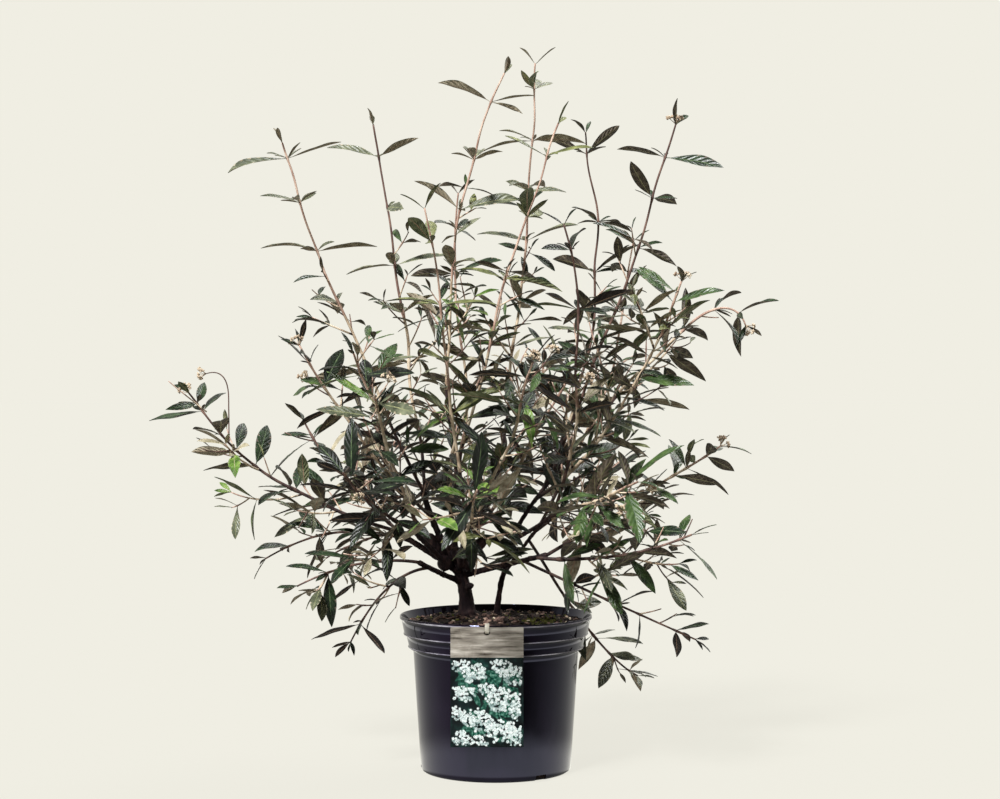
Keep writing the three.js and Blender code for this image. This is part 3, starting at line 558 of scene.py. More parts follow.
# %% How each kind grows on: leaf and twig lengths in millimetres
FINER = {
    "wand": dict(spacing=36, leaf=52, twig=56, twig_from=0.05, twig_to=0.68, chance=0.5),
    "spray": dict(spacing=23, leaf=60, leaf_from=0.1, twig=76, twig_from=0.08, twig_to=0.95, chance=0.72),
    "trailer": dict(spacing=30, leaf=54, leaf_from=0.2, twig=60, twig_from=0.2, twig_to=0.9, chance=0.6),
}
FINER_SEED, FINER_PIECES, FINER_SPACING, FINER_START = 400, 500, 30, 0.25
NODE_LEAF, SPARSER, SPARSER_START = (0.5, 0.7), 1.4, 0.2
THINNED_CHANCE = (0.35, 0.65)
OVERSHOOT = 6  # how far a finer leaf may pass its solid's box
finer_radius = tapering((1.2, 0.8))
first_leaves = sum(len(m["leaves"]) for m in masses)
for mass in masses:
    mass["low"], mass["high"] = (np.array(corner) * 1000 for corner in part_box(mass["name"]))


def stays_in_reach(mass, rounds):
    points = np.array([row[3:6] for row, _ in rounds])
    return bool(np.all(points > mass["low"] - OVERSHOOT) and np.all(points < mass["high"] + OVERSHOOT))


# %% The crown is full in its middle, and thins out towards its sides and its low skirts
CROWN_MIDDLE, FULL_WITHIN, THIN_SPAN, THINNED = 34, 160, 160, 0.7
SKIRT_FOOT, SKIRT_TOP, SKIRT_FULL = 240, 360, (0.35, 0.65)


def fullness(at):
    aside = math.hypot(at[0] - CROWN_MIDDLE, at[1])
    full = 1 - THINNED * min(1, max(0, (aside - FULL_WITHIN) / THIN_SPAN))
    if at[2] < SKIRT_TOP:
        full *= varied(SKIRT_FULL, max(0, (at[2] - SKIRT_FOOT) / (SKIRT_TOP - SKIRT_FOOT)))
    return full


# %% A long shoot stays bare between its nodes, so its smaller leaves join the pairs that are there
def leaves_at_nodes(mass, length, draw):
    leaves = []
    on_stem = {leaf["t"] for leaf in mass["leaves"] if leaf["piece"] == mass["piece"] and leaf["t"] < 1}
    for t in sorted(on_stem):
        spot, turn = mass["stem"].frame(t), draw() * math.pi
        for half in (0, math.pi):
            tries = leaf_tries(spot, turn + half, mass["radius"](t), length * varied(NODE_LEAF, draw()), draw)
            leaves.append((mass["piece"], tries, t))
    return leaves


# %% Two twigs of the left arm that stand clear, so they are given one by one: start, via, tip
HOOKED_TWIGS = {
    "foliage_left_far": [
        ((-384, -12, 478), (-378, -16, 592), (-423, -20, 577)),
        ((-420, -14, 520), (-450, -20, 540), (-474, -24, 566)),
    ],
}


# %% Grow the finer twigs
def keep_finer_twig(mass, bend, rounds):
    piece = mass["piece"] + FINER_PIECES + len(mass["finer_twigs"])
    taken.add(rounds, mass["owner"], piece)
    mass["finer_twigs"].append((piece, bend))
    return piece


for mass in masses:
    finer, draw = FINER[mass["kind_name"]], draws_from(FINER_SEED + mass["owner"])
    length, stem = finer["leaf"], mass["stem"]
    if mass["kind_name"] == "wand":
        queue = leaves_at_nodes(mass, length, draw)
    else:
        start = finer["leaf_from"]
        queue = leaves_along(stem, mass["piece"], mass["radius"], finer["spacing"] * 2, start, length, draw)
    mass["finer_twigs"] = []
    for points in HOOKED_TWIGS.get(mass["name"], []):
        bend = Bend(*points)
        keep_finer_twig(mass, bend, bend_rounds(bend, finer_radius, 3))
    for parent, carrier in [(mass["piece"], stem)] + mass["twigs"]:
        for bend in twigs_along(carrier, finer, draw):
            rounds = bend_rounds(bend, finer_radius, 3)
            if draw() > fullness(bend.place(0)):
                continue
            if stays_in_reach(mass, rounds) and is_clear(taken, rounds, mass["owner"], parent, FIRST_ROOM):
                piece = keep_finer_twig(mass, bend, rounds)
                queue += leaves_along(bend, piece, finer_radius, FINER_SPACING, FINER_START, length, draw)
        if parent != mass["piece"]:
            spacing = FINER_SPACING * SPARSER
            queue += leaves_along(carrier, parent, twig_radius, spacing, SPARSER_START, length, draw)
    for _, tries, _ in queue:
        kept = draw() < varied(THINNED_CHANCE, fullness(tries[0]["root"]))
        tries[:] = [leaf for leaf in tries if kept and stays_in_reach(mass, leaf_rounds(leaf))]
    mass["queue"] = queue

settle_leaves(masses, FINER_ROOM)
print("finer twigs:", sum(len(m["finer_twigs"]) for m in masses))
print("leaves:", first_leaves, "and then", sum(len(m["leaves"]) for m in masses))

# %% [markdown]
# ## Mesh helpers
#
# Thousands of leaves as separate objects would be slow, so each kind of thing is worked out as
# plain lists of corners and faces, and joined into one mesh. A patch holds one such list.


# %% Nothing grows quite straight: one slow field of small shifts bends stems and leaves alike
# noise_vector would start from the clock in each session, so plain noise is read at three places
SWAY_REACH, SWAY_LENGTH = 9, 105
SWAY_FROM, SWAY_SPAN = 250, 160  # it starts at the compost, and grows with height
SWAY_FIELDS = [Vector((0.5, 0.5, field)) for field in (20, 40, 60)]
SWAY_SHARES = (1, 1, 0.4)  # less up and down than aside


def sway(corners):
    spots = [Vector(corner / SWAY_LENGTH) for corner in corners]
    shifts = np.array([[noise.noise(spot + field) for field in SWAY_FIELDS] for spot in spots])
    share = np.clip((corners[:, 2] - SWAY_FROM) / SWAY_SPAN, 0, 1)
    return shifts * (SWAY_REACH * share)[:, None] * SWAY_SHARES


# %% A patch of corners and faces, to be joined into one piece
class Patch:
    def __init__(self):
        self.corners, self.faces, self.slots, self.spots = [], [], [], []
        self.count = 0

    def add(self, corners, faces, slots=None, spots=None):
        """slots: the material of each face. spots: where each corner lies on its leaf."""
        self.corners.append(np.asarray(corners, float))
        self.faces += [tuple(int(i) + self.count for i in face) for face in faces]
        self.slots += slots or [0] * len(faces)
        if spots is not None:
            self.spots.append(spots)
        self.count += len(corners)

    def make(self, name, materials, slot, sharp_degrees=None, sways=False):
        mesh = bpy.data.meshes.new(name)
        corners = np.vstack(self.corners)
        if sways:
            corners = corners + sway(corners)
        mesh.from_pydata((corners / 1000).tolist(), [], self.faces)
        for material in materials:
            mesh.materials.append(material)
        mesh.polygons.foreach_set("material_index", self.slots)
        mesh.polygons.foreach_set("use_smooth", [True] * len(mesh.polygons))
        if self.spots:
            owners = np.zeros(len(mesh.loops), int)
            mesh.loops.foreach_get("vertex_index", owners)
            layer = mesh.uv_layers.new(name="spot")
            layer.data.foreach_set("uv", np.vstack(self.spots)[owners].ravel())
        mesh.update()
        if sharp_degrees is not None:
            mesh.set_sharp_from_angle(angle=math.radians(sharp_degrees))
        made = bpy.data.objects.new(name, mesh)
        bpy.context.collection.objects.link(made)
        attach(made, "root")
        print(f"{name}: {sum(len(face) - 2 for face in self.faces)} triangles")
        return made


# %% Rings of corners: a circle of radius 1, and the faces that join rings one to the next
def circle(side, up, sides):
    angles = np.arange(sides) * 2 * math.pi / sides
    return np.cos(angles)[:, None] * side + np.sin(angles)[:, None] * up


def ring_faces(rings, around, closed_ends=True):
    faces = []
    for i in range(rings - 1):
        for j in range(around):
            k = (j + 1) % around
            faces.append((i * around + j, i * around + k, (i + 1) * around + k, (i + 1) * around + j))
    if closed_ends:
        faces.append(tuple(range(around))[::-1])
        faces.append(tuple((rings - 1) * around + j for j in range(around)))
    return faces


# %% [markdown]
# ## Finishes
#
# A living or moulded surface is never one flat colour. A picture of it could be wrapped round
# each piece, but it would blur close by. Here every finish is worked out from noise instead:
# the colour wanders between a few tones, the roughness wanders too, and fine bumps catch light.


# %% The fields that a finish reads
def noise_field(tree, scale, detail=3, stretch=None, roughness=0.55):
    source = add_node(tree, "TexCoord").outputs["Object"]
    if stretch:
        source = add_node(tree, "Mapping", {"Vector": source, "Scale": stretch}).outputs["Vector"]
    settings = {"Vector": source, "Scale": scale, "Detail": detail, "Roughness": roughness}
    return add_node(tree, "TexNoise", settings).outputs["Fac"]


def color_steps(tree, field, tones):
    ramp = add_node(tree, "ValToRGB", {"Fac": field})
    band = ramp.color_ramp
    while len(band.elements) < len(tones):
        band.elements.new(0.5)
    for element, (place, color) in zip(band.elements, tones.items()):
        element.position, element.color = place, tint(*color)
    return ramp.outputs["Color"]


def tones3(dark, middle, pale):
    return {0.3: dark, 0.5: middle, 0.7: pale}


# %% One finish
def finish(name, tones, field, roughness, specular, dull=None, bumps=(), base=None, **more):
    """tones: screen colours by their place on the field, which is a noise's settings.
    dull: a noise's settings, then the least and the most roughness.
    bumps: a noise's settings or a function, its depth in metres and its strength."""
    material = bpy.data.materials.new(name)
    material.use_nodes = True
    tree = material.node_tree
    shader = tree.nodes["Principled BSDF"].inputs
    plain = base or list(tones.values())[(len(tones) - 1) // 2]
    looks = {"Base Color": tint(*plain), "Roughness": roughness, "Specular IOR Level": specular, **more}
    for socket, value in looks.items():
        shader[socket].default_value = value
    put(tree, shader["Base Color"], color_steps(tree, noise_field(tree, *field), tones))
    if dull:
        put(tree, shader["Roughness"], ranged(tree, noise_field(tree, *dull[0]), (0.3, 0.7), dull[1:]))
    below = {}
    for high, depth, strength in bumps:
        height = high(tree) if callable(high) else noise_field(tree, *high)
        bump = add_node(tree, "Bump", {"Height": height, "Distance": depth, "Strength": strength, **below})
        below = {"Normal": bump.outputs["Normal"]}
    if below:
        put(tree, shader["Normal"], below["Normal"])
    return material


# %% [markdown]
# ## Twigs
#
# Young shoots are slim and round, and swell a little at every pair of leaves, where the scars
# of older leaves ring the bark. A curve with a round bevel would stay smooth there, so each
# twig is a tube whose radius rises in a short bump at each node. The long shoots of last
# season are pinkish tan, and the older side branches are paler and greyer, so the two kinds
# are joined apart, each with its own colour.


# %% A tube along a bend that swells at its nodes
NODE_SWELL, NODE_REACH = 0.42, 3.5
TUBE_STEP = 6
WANDER, WANDER_LENGTH, WANDER_FIELDS, WANDER_SEED = 0.5, 45, (0.5, 9.5), 3.7


def twig_rings(patch, bend, radius_at, node_places, sides, seed, changes):
    """changes: the shares of the length where one bark gives way to the next."""
    steps = max(6, int(bend.length / TUBE_STEP))
    ts = sorted(set(np.linspace(0, 1, steps + 1)) | set(node_places))
    corners = []
    for t in ts:
        at, along, side, up = bend.frame(t)
        swell = sum(math.exp(-(((t - n) * bend.length / NODE_REACH) ** 2)) for n in node_places)
        aside, rise = (
            WANDER * noise.noise(Vector((t * bend.length / WANDER_LENGTH, seed * WANDER_SEED, field)))
            for field in WANDER_FIELDS
        )
        radius = radius_at(t) * (1 + NODE_SWELL * min(1, swell))
        corners.append(at + side * aside + up * rise + radius * circle(side, up, sides))
    slots = [sum(t >= change for change in changes) for t in ts[:-1] for _ in range(sides)]
    patch.add(np.vstack(corners), ring_faces(len(ts), sides), slots + [0, slots[-1]])


# %% Twig finishes, and where one bark gives way to the next along a stem
def twig_finish(name, dark, middle, pale):
    return finish(
        name, tones3(dark, middle, pale), (90, 4, (1, 1, 0.35)), 0.6, 0.4,
        dull=((300,), 0.5, 0.75), bumps=[((700, 3), 0.0003, 0.6)],
    )


young_bark = twig_finish("young_bark", (132, 98, 86), (192, 158, 140), (228, 202, 182))
mature_bark = twig_finish("mature_bark", (140, 114, 94), (214, 192, 164), (246, 232, 208))
aged_bark = twig_finish("aged_bark", (32, 22, 25), (70, 52, 50), (124, 98, 86))
shaded_bark = twig_finish("shaded_bark", (62, 44, 42), (104, 78, 70), (150, 118, 104))
TWIG_BARKS = [aged_bark, mature_bark, young_bark, shaded_bark]
# How much thicker a stem is than its solid, at the foot and at the tip
STEM_THICKER = {"wand": (-0.25, 0.05), "spray": (0, 0.15), "trailer": (0, 0.1)}
BARK_CHANGES = {"wand": (0.2, 0.46), "spray": (0.14, 0.8), "trailer": (0.45, 0.45, 0.45)}
DARKER_STEMS = {
    "shoot_top_right": (0.2, 0.2, 0.2), "shoot_top_right_inner": (0.2, 0.3, 0.34),
    "shoot_top_left_inner": (0.2, 0.46, 0.5), "shoot_front_right_upright": (0.2, 0.4, 0.5),
    "foliage_left_far": (0.6, 0.6, 0.6), "foliage_left_mid": (0.4, 0.4, 0.4),
    "foliage_front_left": (0.5, 0.5, 0.5), "foliage_right_low": (0.4, 0.4, 0.4),
}
TWIG_CHANGES, FINER_CHANGES, SHADED_ALL_ALONG = (0.02, 0.7), (-1, 0.3), (-1, -1, -1)

# %% Make the twigs
twigs_young, twigs_mature = Patch(), Patch()
for mass in masses:
    patch = twigs_young if mass["kind_name"] == "wand" else twigs_mature
    carried = {}
    for leaf in mass["leaves"]:
        carried.setdefault(leaf["piece"], []).append(leaf["t"])
    ends = zip(STEM_RADII[mass["kind_name"]], STEM_THICKER[mass["kind_name"]])
    stem_radius = tapering([radius + more for radius, more in ends])
    changes = DARKER_STEMS.get(mass["name"], BARK_CHANGES[mass["kind_name"]])
    stems = [(mass["piece"], mass["stem"], stem_radius, 8, changes)]
    stems += [(piece, bend, twig_radius, 6, TWIG_CHANGES) for piece, bend in mass["twigs"]]
    stems += [
        (piece, bend, finer_radius, 5, FINER_CHANGES if piece % 3 else SHADED_ALL_ALONG)
        for piece, bend in mass["finer_twigs"]
    ]
    for piece, bend, radius_at, sides, changes in stems:
        nodes = sorted({round(t, 4) for t in carried.get(piece, []) if t < 1})
        twig_rings(patch, bend, radius_at, nodes, sides, piece % 97, changes)
twigs_young.make("twigs_young", TWIG_BARKS, "bark", sways=True)
twigs_mature_piece = twigs_mature.make("twigs_mature", TWIG_BARKS, "bark", sways=True)
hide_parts(*[mass["name"] for mass in masses])

# %% [markdown]
# ## Leaves
#
# A leaf of this shrub is long and narrow, leathery and glossy above, with sunken veins that
# make it quilted, and a pale felt below. A flat card with a leaf painted on it would look thin
# from the side. So each leaf is a closed shell: a fan of cross sections from the stalk to the
# tip, with the vein valleys pressed into the upper face, the two halves folded up from the
# midrib, and the edges rolled under.

# %% Leaf sections: how far across each corner lies, first over the top and then back below
TOP_ACROSS = np.array([-1, -0.55, -0.07, 0.07, 0.55, 1])
UNDER_ACROSS = np.array([0.55, 0.07, -0.07, -0.55])
ACROSS = np.concatenate((TOP_ACROSS, UNDER_ACROSS))
IS_TOP = np.arange(len(ACROSS)) < len(TOP_ACROSS)
STALK_SHARE = 0.1
VEIN_PAIRS = 6
BLADE_STATIONS = np.linspace(0, 1, 2 * VEIN_PAIRS + 2)
STATIONS = np.concatenate(([0, 0.06], STALK_SHARE + (1 - STALK_SHARE) * BLADE_STATIONS))
VEIN_DEPTH, LEAF_THICKNESS, STALK_RADIUS = 0.42, 0.5, 0.7
VEIN_SLANT, BLADE_FULL = 0.07, 0.85
UPPER, UNDER, RIB, GROOVE = 0, 1, 2, 3
SECTION_SLOTS = [UPPER, UPPER, GROOVE, UPPER, UPPER, UNDER, UNDER, RIB, UNDER, UNDER]


def blade_width(share, lean):
    """Half width from the stalk to the tip, 1 at the widest. A larger lean is broader at the tip."""
    inside = np.clip((share - STALK_SHARE) / (1 - STALK_SHARE), 0, 1)
    return np.sin(np.pi * inside**lean) ** BLADE_FULL


LEAF_FACES = ring_faces(len(STATIONS), len(ACROSS))
LEAF_SLOTS = SECTION_SLOTS * (len(STATIONS) - 1) + [UNDER, UNDER]
LEAF_SPOTS = np.column_stack((np.tile(ACROSS, len(STATIONS)), np.repeat(STATIONS, len(ACROSS))))
print("faces on a leaf:", len(LEAF_FACES))


# %% One leaf as corners
FULL_LENGTH, LONGER_SHARE, TIP_SHARE = 76, 0.45, 0.72
FOLD_VARIES, TWIST, BOW, CURL, CURL_FROM, LEAN = 0.34, 0.9, 0.14, (0.05, 0.13), 0.55, (0.7, 0.42)
RIDGE_RISE, RIB_SUNK, EDGE_ROLLED, EDGE_THINNED, FOLD_RISE = 0.4, 0.35, 0.2, 0.6, 0.8
RIB_HALF, EDGE_FROM = 0.3, 0.9  # where the rib ends and the rolled edge starts
WAVE, WAVES, WAVE_TURN, WAVE_APART = 0.07, 11, 6.3, 2.2  # the two halves wave apart
STALK_ABOVE, STALK_BELOW, TIP_THIN = 0.5, -0.6, 0.4  # shares of the stalk's radius


def leaf_corners(leaf, draw, width_share, folded):
    """The solids' leaves are few and long: here the longest are shorter, and those at a tip are small."""
    length = min(leaf["length"], FULL_LENGTH + LONGER_SHARE * (leaf["length"] - FULL_LENGTH))
    if leaf["t"] == 1:
        length *= TIP_SHARE
    heading, face = leaf["heading"], leaf["face"]
    over = np.cross(face, heading)
    fold, twist = folded + FOLD_VARIES * draw(), (draw() - 0.5) * TWIST
    bow, wave = (draw() - 0.5) * BOW, draw() * WAVE_TURN
    curl, lean = varied(CURL, draw()), varied(LEAN, draw())
    widths = blade_width(STATIONS, lean) * (length * width_share / 2)
    size = np.abs(ACROSS)
    near_rib, at_edge = size < RIB_HALF, size > EDGE_FROM
    in_valley, thinned = ~(near_rib | at_edge), 1 - EDGE_THINNED * size**2
    rows = []
    for i, share in enumerate(STATIONS):
        droop = leaf["droop"] * share**2 + curl * max(0, share - CURL_FROM) ** 2
        middle = leaf["root"] + heading * (length * share) - face * (length * droop)
        middle = middle + over * (length * bow * share * share)
        turn = twist * share
        right = over * math.cos(turn) + face * math.sin(turn)
        above = face * math.cos(turn) - over * math.sin(turn)
        width = max(widths[i], STALK_RADIUS * (1 if share < 0.5 else TIP_THIN))
        if STALK_SHARE < share < 1:
            valley = VEIN_DEPTH if i % 2 else -RIDGE_RISE * VEIN_DEPTH
            rise = np.where(IS_TOP, LEAF_THICKNESS / 2, -LEAF_THICKNESS / 2) * thinned
            rise = rise - valley * np.where(in_valley, 1, 0) - RIB_SUNK * np.where(near_rib, 1, 0)
            rise = rise + fold * size * width * FOLD_RISE - EDGE_ROLLED * np.where(at_edge, 1, 0) * width
            rise = rise + WAVE * width * size * np.sin(wave + share * WAVES + WAVE_APART * np.sign(ACROSS))
            ahead = heading * (length * VEIN_SLANT)
        else:
            rise = np.where(IS_TOP, STALK_ABOVE, STALK_BELOW) * STALK_RADIUS * thinned
            ahead = heading * 0
        row = middle + (ACROSS * width)[:, None] * right + rise[:, None] * above
        rows.append(row + (size * blade_width(share, lean))[:, None] * ahead)
    return np.vstack(rows)


# %% Leaf finishes: upper face, felted underside, rib and groove
VEIN_LINES, LINE_SLANT = 8, -0.16


def vein_field(tree):
    """The leaf's own pattern: lines that run out and forwards from the midrib."""
    spot = add_node(tree, "UVMap", uv_map="spot").outputs["UV"]
    split = add_node(tree, "SeparateXYZ", {"Vector": spot}).outputs
    slant = math_step(tree, "MULTIPLY_ADD", math_step(tree, "ABSOLUTE", split["X"]), LINE_SLANT, split["Y"])
    return math_step(tree, "SINE", math_step(tree, "MULTIPLY", slant, VEIN_LINES * 2 * math.pi))


def upper_finish(name, deep, middle, light, roughness):
    return finish(
        name, {0.32: deep, 0.5: middle, 0.68: light}, (55, 4), roughness, 0.5,
        dull=((180,), roughness - 0.06, roughness + 0.14),
        bumps=[(vein_field, 0.0006, 0.45), ((900, 2), 0.00025, 0.5)],
    )


def under_finish(name, *tones):
    bumps = [(vein_field, 0.0006, 0.7), ((1500, 2), 0.0003, 0.6)]
    return finish(name, tones3(*tones), (80, 4), 0.85, 0.25, bumps=bumps, **{"Sheen Weight": 0.25})


def rib_finish(name, middle, light):
    return finish(name, {0.35: middle, 0.65: light}, (120, 3), 0.5, 0.4, bumps=[((1200, 2), 0.0002, 0.4)])


# Painted shade: this darkest felt belongs to the deep family, which paints the shade low inside the crown
FELT_PAINTED_SHADE = under_finish("leaf_felt_deep", (30, 25, 24), (52, 44, 40), (86, 76, 68))
FELT = under_finish("leaf_felt", (66, 59, 50), (106, 95, 82), (154, 141, 122))
FELT_PALE = under_finish("leaf_felt_pale", (124, 112, 92), (170, 158, 134), (212, 202, 178))
FELT_GREEN = under_finish("leaf_felt_green", (70, 80, 52), (112, 120, 84), (158, 162, 124))
RIB_PALE = rib_finish("leaf_rib", (140, 140, 100), (196, 190, 150))
RIB_PINK = rib_finish("leaf_rib_pink", (150, 116, 96), (204, 172, 144))
GROOVE_DARK = rib_finish("leaf_groove_dark", (52, 72, 48), (104, 122, 84))
GROOVE_PALE = rib_finish("leaf_groove_pale", (104, 112, 76), (166, 166, 124))

# %% Seven families of leaf: the upper face's tones and roughness, then felt, rib and groove
LEAF_FAMILIES = {
    # deep: darker above and below, dealt to leaves low inside the crown as painted shade
    "deep": ((8, 13, 8), (17, 27, 16), (34, 48, 30), 0.32, FELT_PAINTED_SHADE, RIB_PINK, GROOVE_DARK),
    "dark": ((13, 23, 12), (27, 44, 24), (48, 70, 40), 0.32, FELT, RIB_PALE, GROOVE_DARK),
    "mid": ((30, 46, 24), (56, 80, 40), (88, 112, 60), 0.32, FELT, RIB_PALE, GROOVE_DARK),
    "grey": ((50, 56, 42), (88, 94, 72), (130, 134, 106), 0.36, FELT_PALE, RIB_PINK, GROOVE_PALE),
    "olive": ((64, 70, 38), (104, 110, 62), (148, 152, 94), 0.36, FELT_GREEN, RIB_PINK, GROOVE_PALE),
    # pale: cream upper faces that stand for leaves lit through from behind, a painted backlight
    "pale": ((134, 126, 102), (180, 170, 142), (222, 212, 184), 0.38, FELT_PALE, RIB_PINK, GROOVE_PALE),
    "young": ((58, 88, 32), (98, 134, 52), (152, 176, 92), 0.34, FELT_GREEN, RIB_PALE, GROOVE_PALE),
}
# the pale share puts the painted backlight among the crown's leaves
CROWN_SHARES = {"dark": 0.24, "mid": 0.26, "grey": 0.15, "olive": 0.13, "pale": 0.22}
WAND_SHARES = {"dark": 0.5, "mid": 0.36, "grey": 0.1, "olive": 0.04}
# Painted shade: where the deep family is dealt, low and near the crown's middle
SHADE_PAINT_CHANCE, SHADE_PAINT_BELOW, SHADE_PAINT_WITHIN, SHADE_PAINT_MIDDLE = 0.62, 460, 180, -30
YOUNG_CHANCE = 0.035

# %% Small leaves in the angles of the pairs, where next year's shoots wait
TUFT_SEED, TUFT_LENGTH, TUFT_LIFT, TUFT_MOST = 700, (14, 20), (0.35, 0.6), 3
TUFT_FORWARD, TUFT_SIZE, TUFT_TURN, TUFT_ROOT = (0.6, 1), 0.5, 0.6, 1.5
for mass in masses:
    draw = draws_from(TUFT_SEED + mass["owner"])
    carriers = dict([(mass["piece"], mass["stem"])] + mass["twigs"])
    tufts = []
    for piece, t in sorted({(leaf["piece"], round(leaf["t"], 4)) for leaf in mass["leaves"]}):
        if piece not in carriers or t >= 1:
            continue
        spot, turn = carriers[piece].frame(t), draw() * math.pi
        for i in range(int(TUFT_MOST * draw())):
            length = varied(TUFT_LENGTH, draw())
            draws = (varied(TUFT_FORWARD, draw()), varied(TUFT_LIFT, draw()), TUFT_SIZE, draw(), draw())
            tuft = leaf_pose(spot, turn + i * math.pi + draw() * TUFT_TURN, TUFT_ROOT, length, draws)
            tufts.append(dict(tuft, piece=piece, t=t))
    mass["leaves"] += tufts
print("leaves and tufts:", sum(len(m["leaves"]) for m in masses))

# %% A few young leaves stand at known places (x, z), on the side towards the camera
YOUNG_PLACES = [
    (-92, 363), (-59, 397), (-80, 375), (66, 687), (-227, 545), (-183, 553), (-205, 560),
    (-377, 458), (-475, 560), (50, 1020),
]
YOUNG_FRONT, YOUNG_DEPTH = -200, 0.25


def leaf_middle(leaf):
    return leaf["root"] + leaf["heading"] * leaf["length"] / 2


def apart_in_view(place, at):
    """How far a point is from a place, as the camera sees them."""
    return math.hypot(at[0] - place[0], at[2] - place[1])


def young_rank(place, leaf):
    at = leaf_middle(leaf)
    return apart_in_view(place, at) + YOUNG_DEPTH * (at[1] - YOUNG_FRONT)


all_leaves = [leaf for mass in masses for leaf in mass["leaves"]]
for place in YOUNG_PLACES:
    open_leaves = [leaf for leaf in all_leaves if not leaf.get("young")]
    min(open_leaves, key=lambda leaf: young_rank(place, leaf))["young"] = True

# %% The foot of the trunk stays in view, as nothing hangs before it
TRUNK_VIEW = dict(middle=-46, half=34, front=30, top=312)


def hides_trunk(leaf):
    x, y, z = leaf_middle(leaf)
    beside = abs(x - TRUNK_VIEW["middle"]) < TRUNK_VIEW["half"]
    return beside and y < TRUNK_VIEW["front"] and z < TRUNK_VIEW["top"]


for mass in masses:
    mass["leaves"] = [leaf for leaf in mass["leaves"] if not hides_trunk(leaf)]
print("leaves left:", sum(len(m["leaves"]) for m in masses))


# %% Deal the leaves out by spray: low in the middle the deep family paints shade, and here and there a young one
def pick_family(shares, root, draw):
    pick, total = draw(), 0
    for family, share in shares.items():
        total += share
        if pick <= total:
            break
    x, y, z = root
    # painted shade: low and near the middle, a spray may take the deep family
    in_painted_shade = z < SHADE_PAINT_BELOW and math.hypot(x - SHADE_PAINT_MIDDLE, y) < SHADE_PAINT_WITHIN
    if in_painted_shade and draw() < SHADE_PAINT_CHANCE:
        family = "deep"
    return "young" if draw() < YOUNG_CHANCE else family


# %% Make the leaves
DEAL_SEED, WIDTH_VARIES, LEAF_SHARP = 900, 0.06, 62
WAND_LEAVES, CROWN_LEAVES = (WAND_SHARES, 0.2, 0.3), (CROWN_SHARES, 0.235, 0.14)  # families, width, fold
patches = {family: Patch() for family in LEAF_FAMILIES}
for mass in masses:
    draw, families = draws_from(DEAL_SEED + mass["owner"]), {}
    shares, width, folded = WAND_LEAVES if mass["kind_name"] == "wand" else CROWN_LEAVES
    for leaf in mass["leaves"]:
        piece = leaf["piece"]
        if piece not in families:
            families[piece] = pick_family(shares, leaf["root"], draw)
        corners = leaf_corners(leaf, draw, width + WIDTH_VARIES * draw(), folded)
        family = "young" if leaf.get("young") else families[piece]
        patches[family].add(corners, LEAF_FACES, LEAF_SLOTS, LEAF_SPOTS)
for family, (*upper, under, rib, groove) in LEAF_FAMILIES.items():
    materials = [upper_finish("leaf_" + family, *upper), under, rib, groove]
    patches[family].make("leaves_" + family, materials, "foliage", LEAF_SHARP, sways=True)

# %% [markdown]
# ## Bud heads
#
# The flower buds stand through the winter in open domed heads: a few short rays part from the
# shoot's tip, and each ends in a tight bunch of tiny buds. One round lump would look like a
# berry from near by, so every bud is a small tapered lump on its ray, set out by the golden
# angle as buds are, so no two lie behind each other.

# %% One head: rays and their bunches of buds
GOLDEN = math.pi * (3 - math.sqrt(5))
RAYS, BUDS_ON_RAY = 6, 6
HEAD_OPENING, BUNCH_OPENING = 1.05, 1.2
RAY_RADII, BUD_STALK_RADII = (0.75, 0.5), (0.4, 0.3)
RAY_LENGTH, BUD_REACH, BUD_RADIUS, BUD_TALLER = (0.75, 0.25), (0.22, 0.1), (1.15, 0.5), 1.35


def icosphere(subdivisions):
    ball = bmesh.new()
    bmesh.ops.create_icosphere(ball, subdivisions=subdivisions, radius=1)
    corners = np.array([vertex.co for vertex in ball.verts])
    faces = [tuple(vertex.index for vertex in face.verts) for face in ball.faces]
    ball.free()
    return corners, faces


BUD_CORNERS, BUD_FACES = icosphere(1)
NO_TWIG_ALONG = (0.31, 0.83, 0.47)  # a direction that no twig has, to measure sideways from


def across_of(along):
    side = unit(np.cross(along, NO_TWIG_ALONG))
    return side, np.cross(side, along)


def straight_ray(patch, start, end, radii, sides=5):
    ring = circle(*across_of(unit(end - start)), sides)
    rings = (start + ring * radii[0], (start + end) / 2 + ring * radii[1], end + ring * radii[1])
    patch.add(np.vstack(rings), ring_faces(3, sides))


def spread_from(axis, part, opening, turn):
    side, up = across_of(axis)
    lean = opening * math.sqrt(part)
    return unit(axis * math.cos(lean) + (side * math.cos(turn) + up * math.sin(turn)) * math.sin(lean))


def bud_head(buds, rays, at, axis, size, draw):
    for i in range(RAYS):
        heading = spread_from(axis, (i + 0.5) / RAYS, HEAD_OPENING, i * GOLDEN + draw())
        elbow = at + heading * (size * varied(RAY_LENGTH, draw()))
        straight_ray(rays, at, elbow, RAY_RADII)
        for j in range(BUDS_ON_RAY):
            out = spread_from(heading, (j + 0.3) / BUDS_ON_RAY, BUNCH_OPENING, j * GOLDEN + draw())
            place = elbow + out * (size * varied(BUD_REACH, draw()))
            straight_ray(rays, elbow, place, BUD_STALK_RADII, 4)
            side, up = across_of(out)
            fat = varied(BUD_RADIUS, draw())
            shape = BUD_CORNERS * (fat, fat, fat * BUD_TALLER)
            buds.add(place + shape[:, :1] * side + shape[:, 1:2] * up + shape[:, 2:] * out, BUD_FACES)


